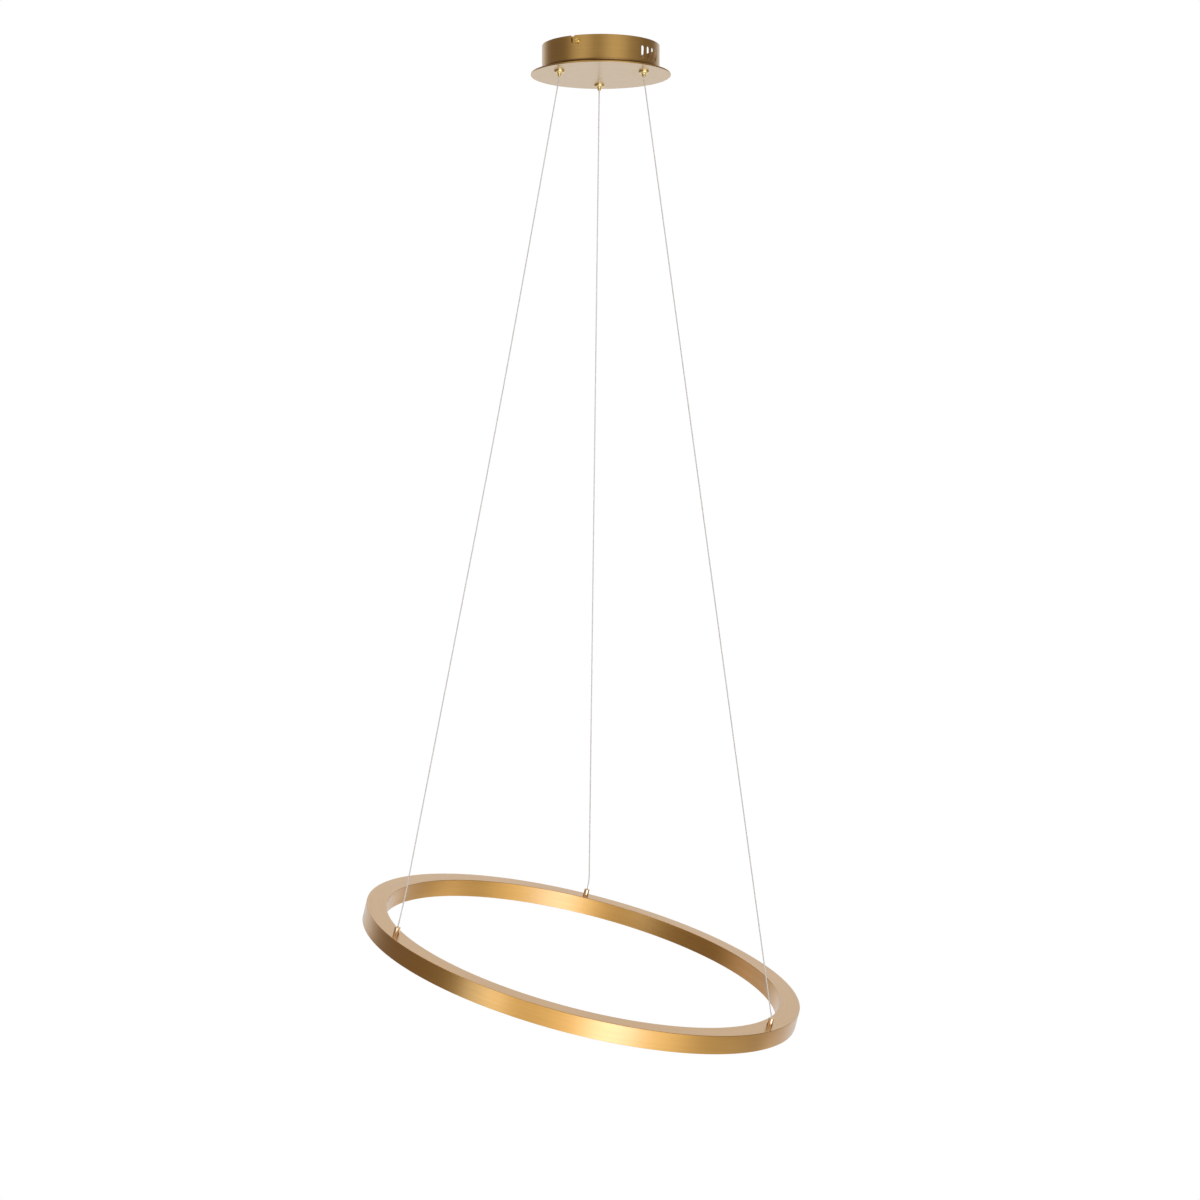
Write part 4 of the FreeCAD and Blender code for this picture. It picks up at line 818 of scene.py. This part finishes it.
def makeWorld():
    world = bpy.data.worlds.new("studio")
    bpy.context.scene.world = world
    world.use_nodes = True
    tree = world.node_tree
    tree.nodes.clear()
    direction = addNode(tree, "ShaderNodeTexCoord").outputs["Generated"]
    level = None
    for softbox in studio["softboxes"]:
        share = facingShare(tree, direction, *softbox)
        level = calculate(tree, "ADD", level, share) if level else share
    room = addNode(tree, "ShaderNodeVectorMath", operation="ADD")
    joinUp(tree, level, room.inputs[0])
    room.inputs[1].default_value = studio["room"]
    glossy = addNode(tree, "ShaderNodeLightPath").outputs["Is Glossy Ray"]
    core = addNode(tree, "ShaderNodeVectorMath", operation="SCALE")
    core.inputs[0].default_value = studio["coreColour"]
    joinUp(tree, calculate(tree, "MULTIPLY", glossy, facingShare(tree, direction, *studio["core"])),
           core.inputs["Scale"])
    colour = addNode(tree, "ShaderNodeVectorMath", operation="ADD")
    joinUp(tree, room.outputs[0], colour.inputs[0])
    joinUp(tree, core.outputs[0], colour.inputs[1])
    lit = addNode(tree, "ShaderNodeBackground")
    joinUp(tree, colour.outputs[0], lit.inputs["Color"])
    blank = addNode(tree, "ShaderNodeBackground")
    blank.inputs["Color"].default_value = (*white, 1)
    seen = seenDirectly(tree, facingShare(tree, direction, *studio["backdrop"]))
    output = addNode(tree, "ShaderNodeOutputWorld")
    joinUp(tree, mixShaders(tree, seen, lit.outputs[0], blank.outputs[0]), output.inputs["Surface"])


def makeLamps():
    for name, place, target, width, height, power, spreadAngle, colour in studio["lamps"]:
        data = bpy.data.lights.new(name, "AREA")
        data.shape = "RECTANGLE"
        data.size = width
        data.size_y = height
        data.energy = power
        data.spread = math.radians(spreadAngle)
        data.color = colour
        lamp = bpy.data.objects.new(name, data)
        lamp.location = place
        towards = Vector(target) - Vector(place)
        lamp.rotation_euler = towards.to_track_quat("-Z", "Y").to_euler()
        lamp.visible_camera = False
        lamp.visible_diffuse = colour == white  # a tinted lamp only makes reflections
        bpy.context.collection.objects.link(lamp)


paleFloor = {
    "height": -2.35, "radius": 1.9, "sides": 96,
    "colour": (0.92, 0.92, 0.92), "roughness": 0.8, "gloss": 0.1,
    # where the floor starts to turn white and where it is white, and how white it is before that
    "fade": (0.6, 1.8, 0), "cameraFade": (0.2, 1.1, 0.72),
}


def makeFloor():
    # keeps the light's shadow near by, runs out into white and is clear from below
    deselect()
    bpy.ops.mesh.primitive_circle_add(vertices=paleFloor["sides"], radius=paleFloor["radius"],
                                      fill_type="NGON", location=(0, 0, paleFloor["height"]))
    floor = bpy.context.object
    floor.name = "studioFloor"
    material, tree, shader = newMaterial("paleFloor")
    shader.inputs["Base Color"].default_value = (*paleFloor["colour"], 1)
    shader.inputs["Roughness"].default_value = paleFloor["roughness"]
    shader.inputs["Specular IOR Level"].default_value = paleFloor["gloss"]
    coordinates = addNode(tree, "ShaderNodeTexCoord")
    reach = addNode(tree, "ShaderNodeVectorMath", operation="LENGTH")
    joinUp(tree, coordinates.outputs["Object"], reach.inputs[0])
    cameraRay = addNode(tree, "ShaderNodeLightPath").outputs["Is Camera Ray"]
    shares = []
    for seen, fade in ((seenDirectly(tree), "fade"), (cameraRay, "cameraFade")):
        near, far, least = paleFloor[fade]
        whiter = spread(tree, reach.outputs["Value"], least, 1, near, far, "SMOOTHSTEP")
        shares.append(calculate(tree, "MULTIPLY", seen, whiter))
    blank = addNode(tree, "ShaderNodeEmission")
    upper = mixShaders(tree, calculate(tree, "MAXIMUM", *shares), shader.outputs[0],
                       blank.outputs[0])
    below = addNode(tree, "ShaderNodeNewGeometry").outputs["Backfacing"]
    clear = addNode(tree, "ShaderNodeBsdfTransparent")
    joinUp(tree, mixShaders(tree, below, upper, clear.outputs[0]),
           tree.nodes["Material Output"].inputs["Surface"])
    floor.data.materials.append(material)


makeWorld()
makeLamps()
makeFloor()
bpy.context.scene.view_settings.view_transform = "Standard"
print("studio lit")
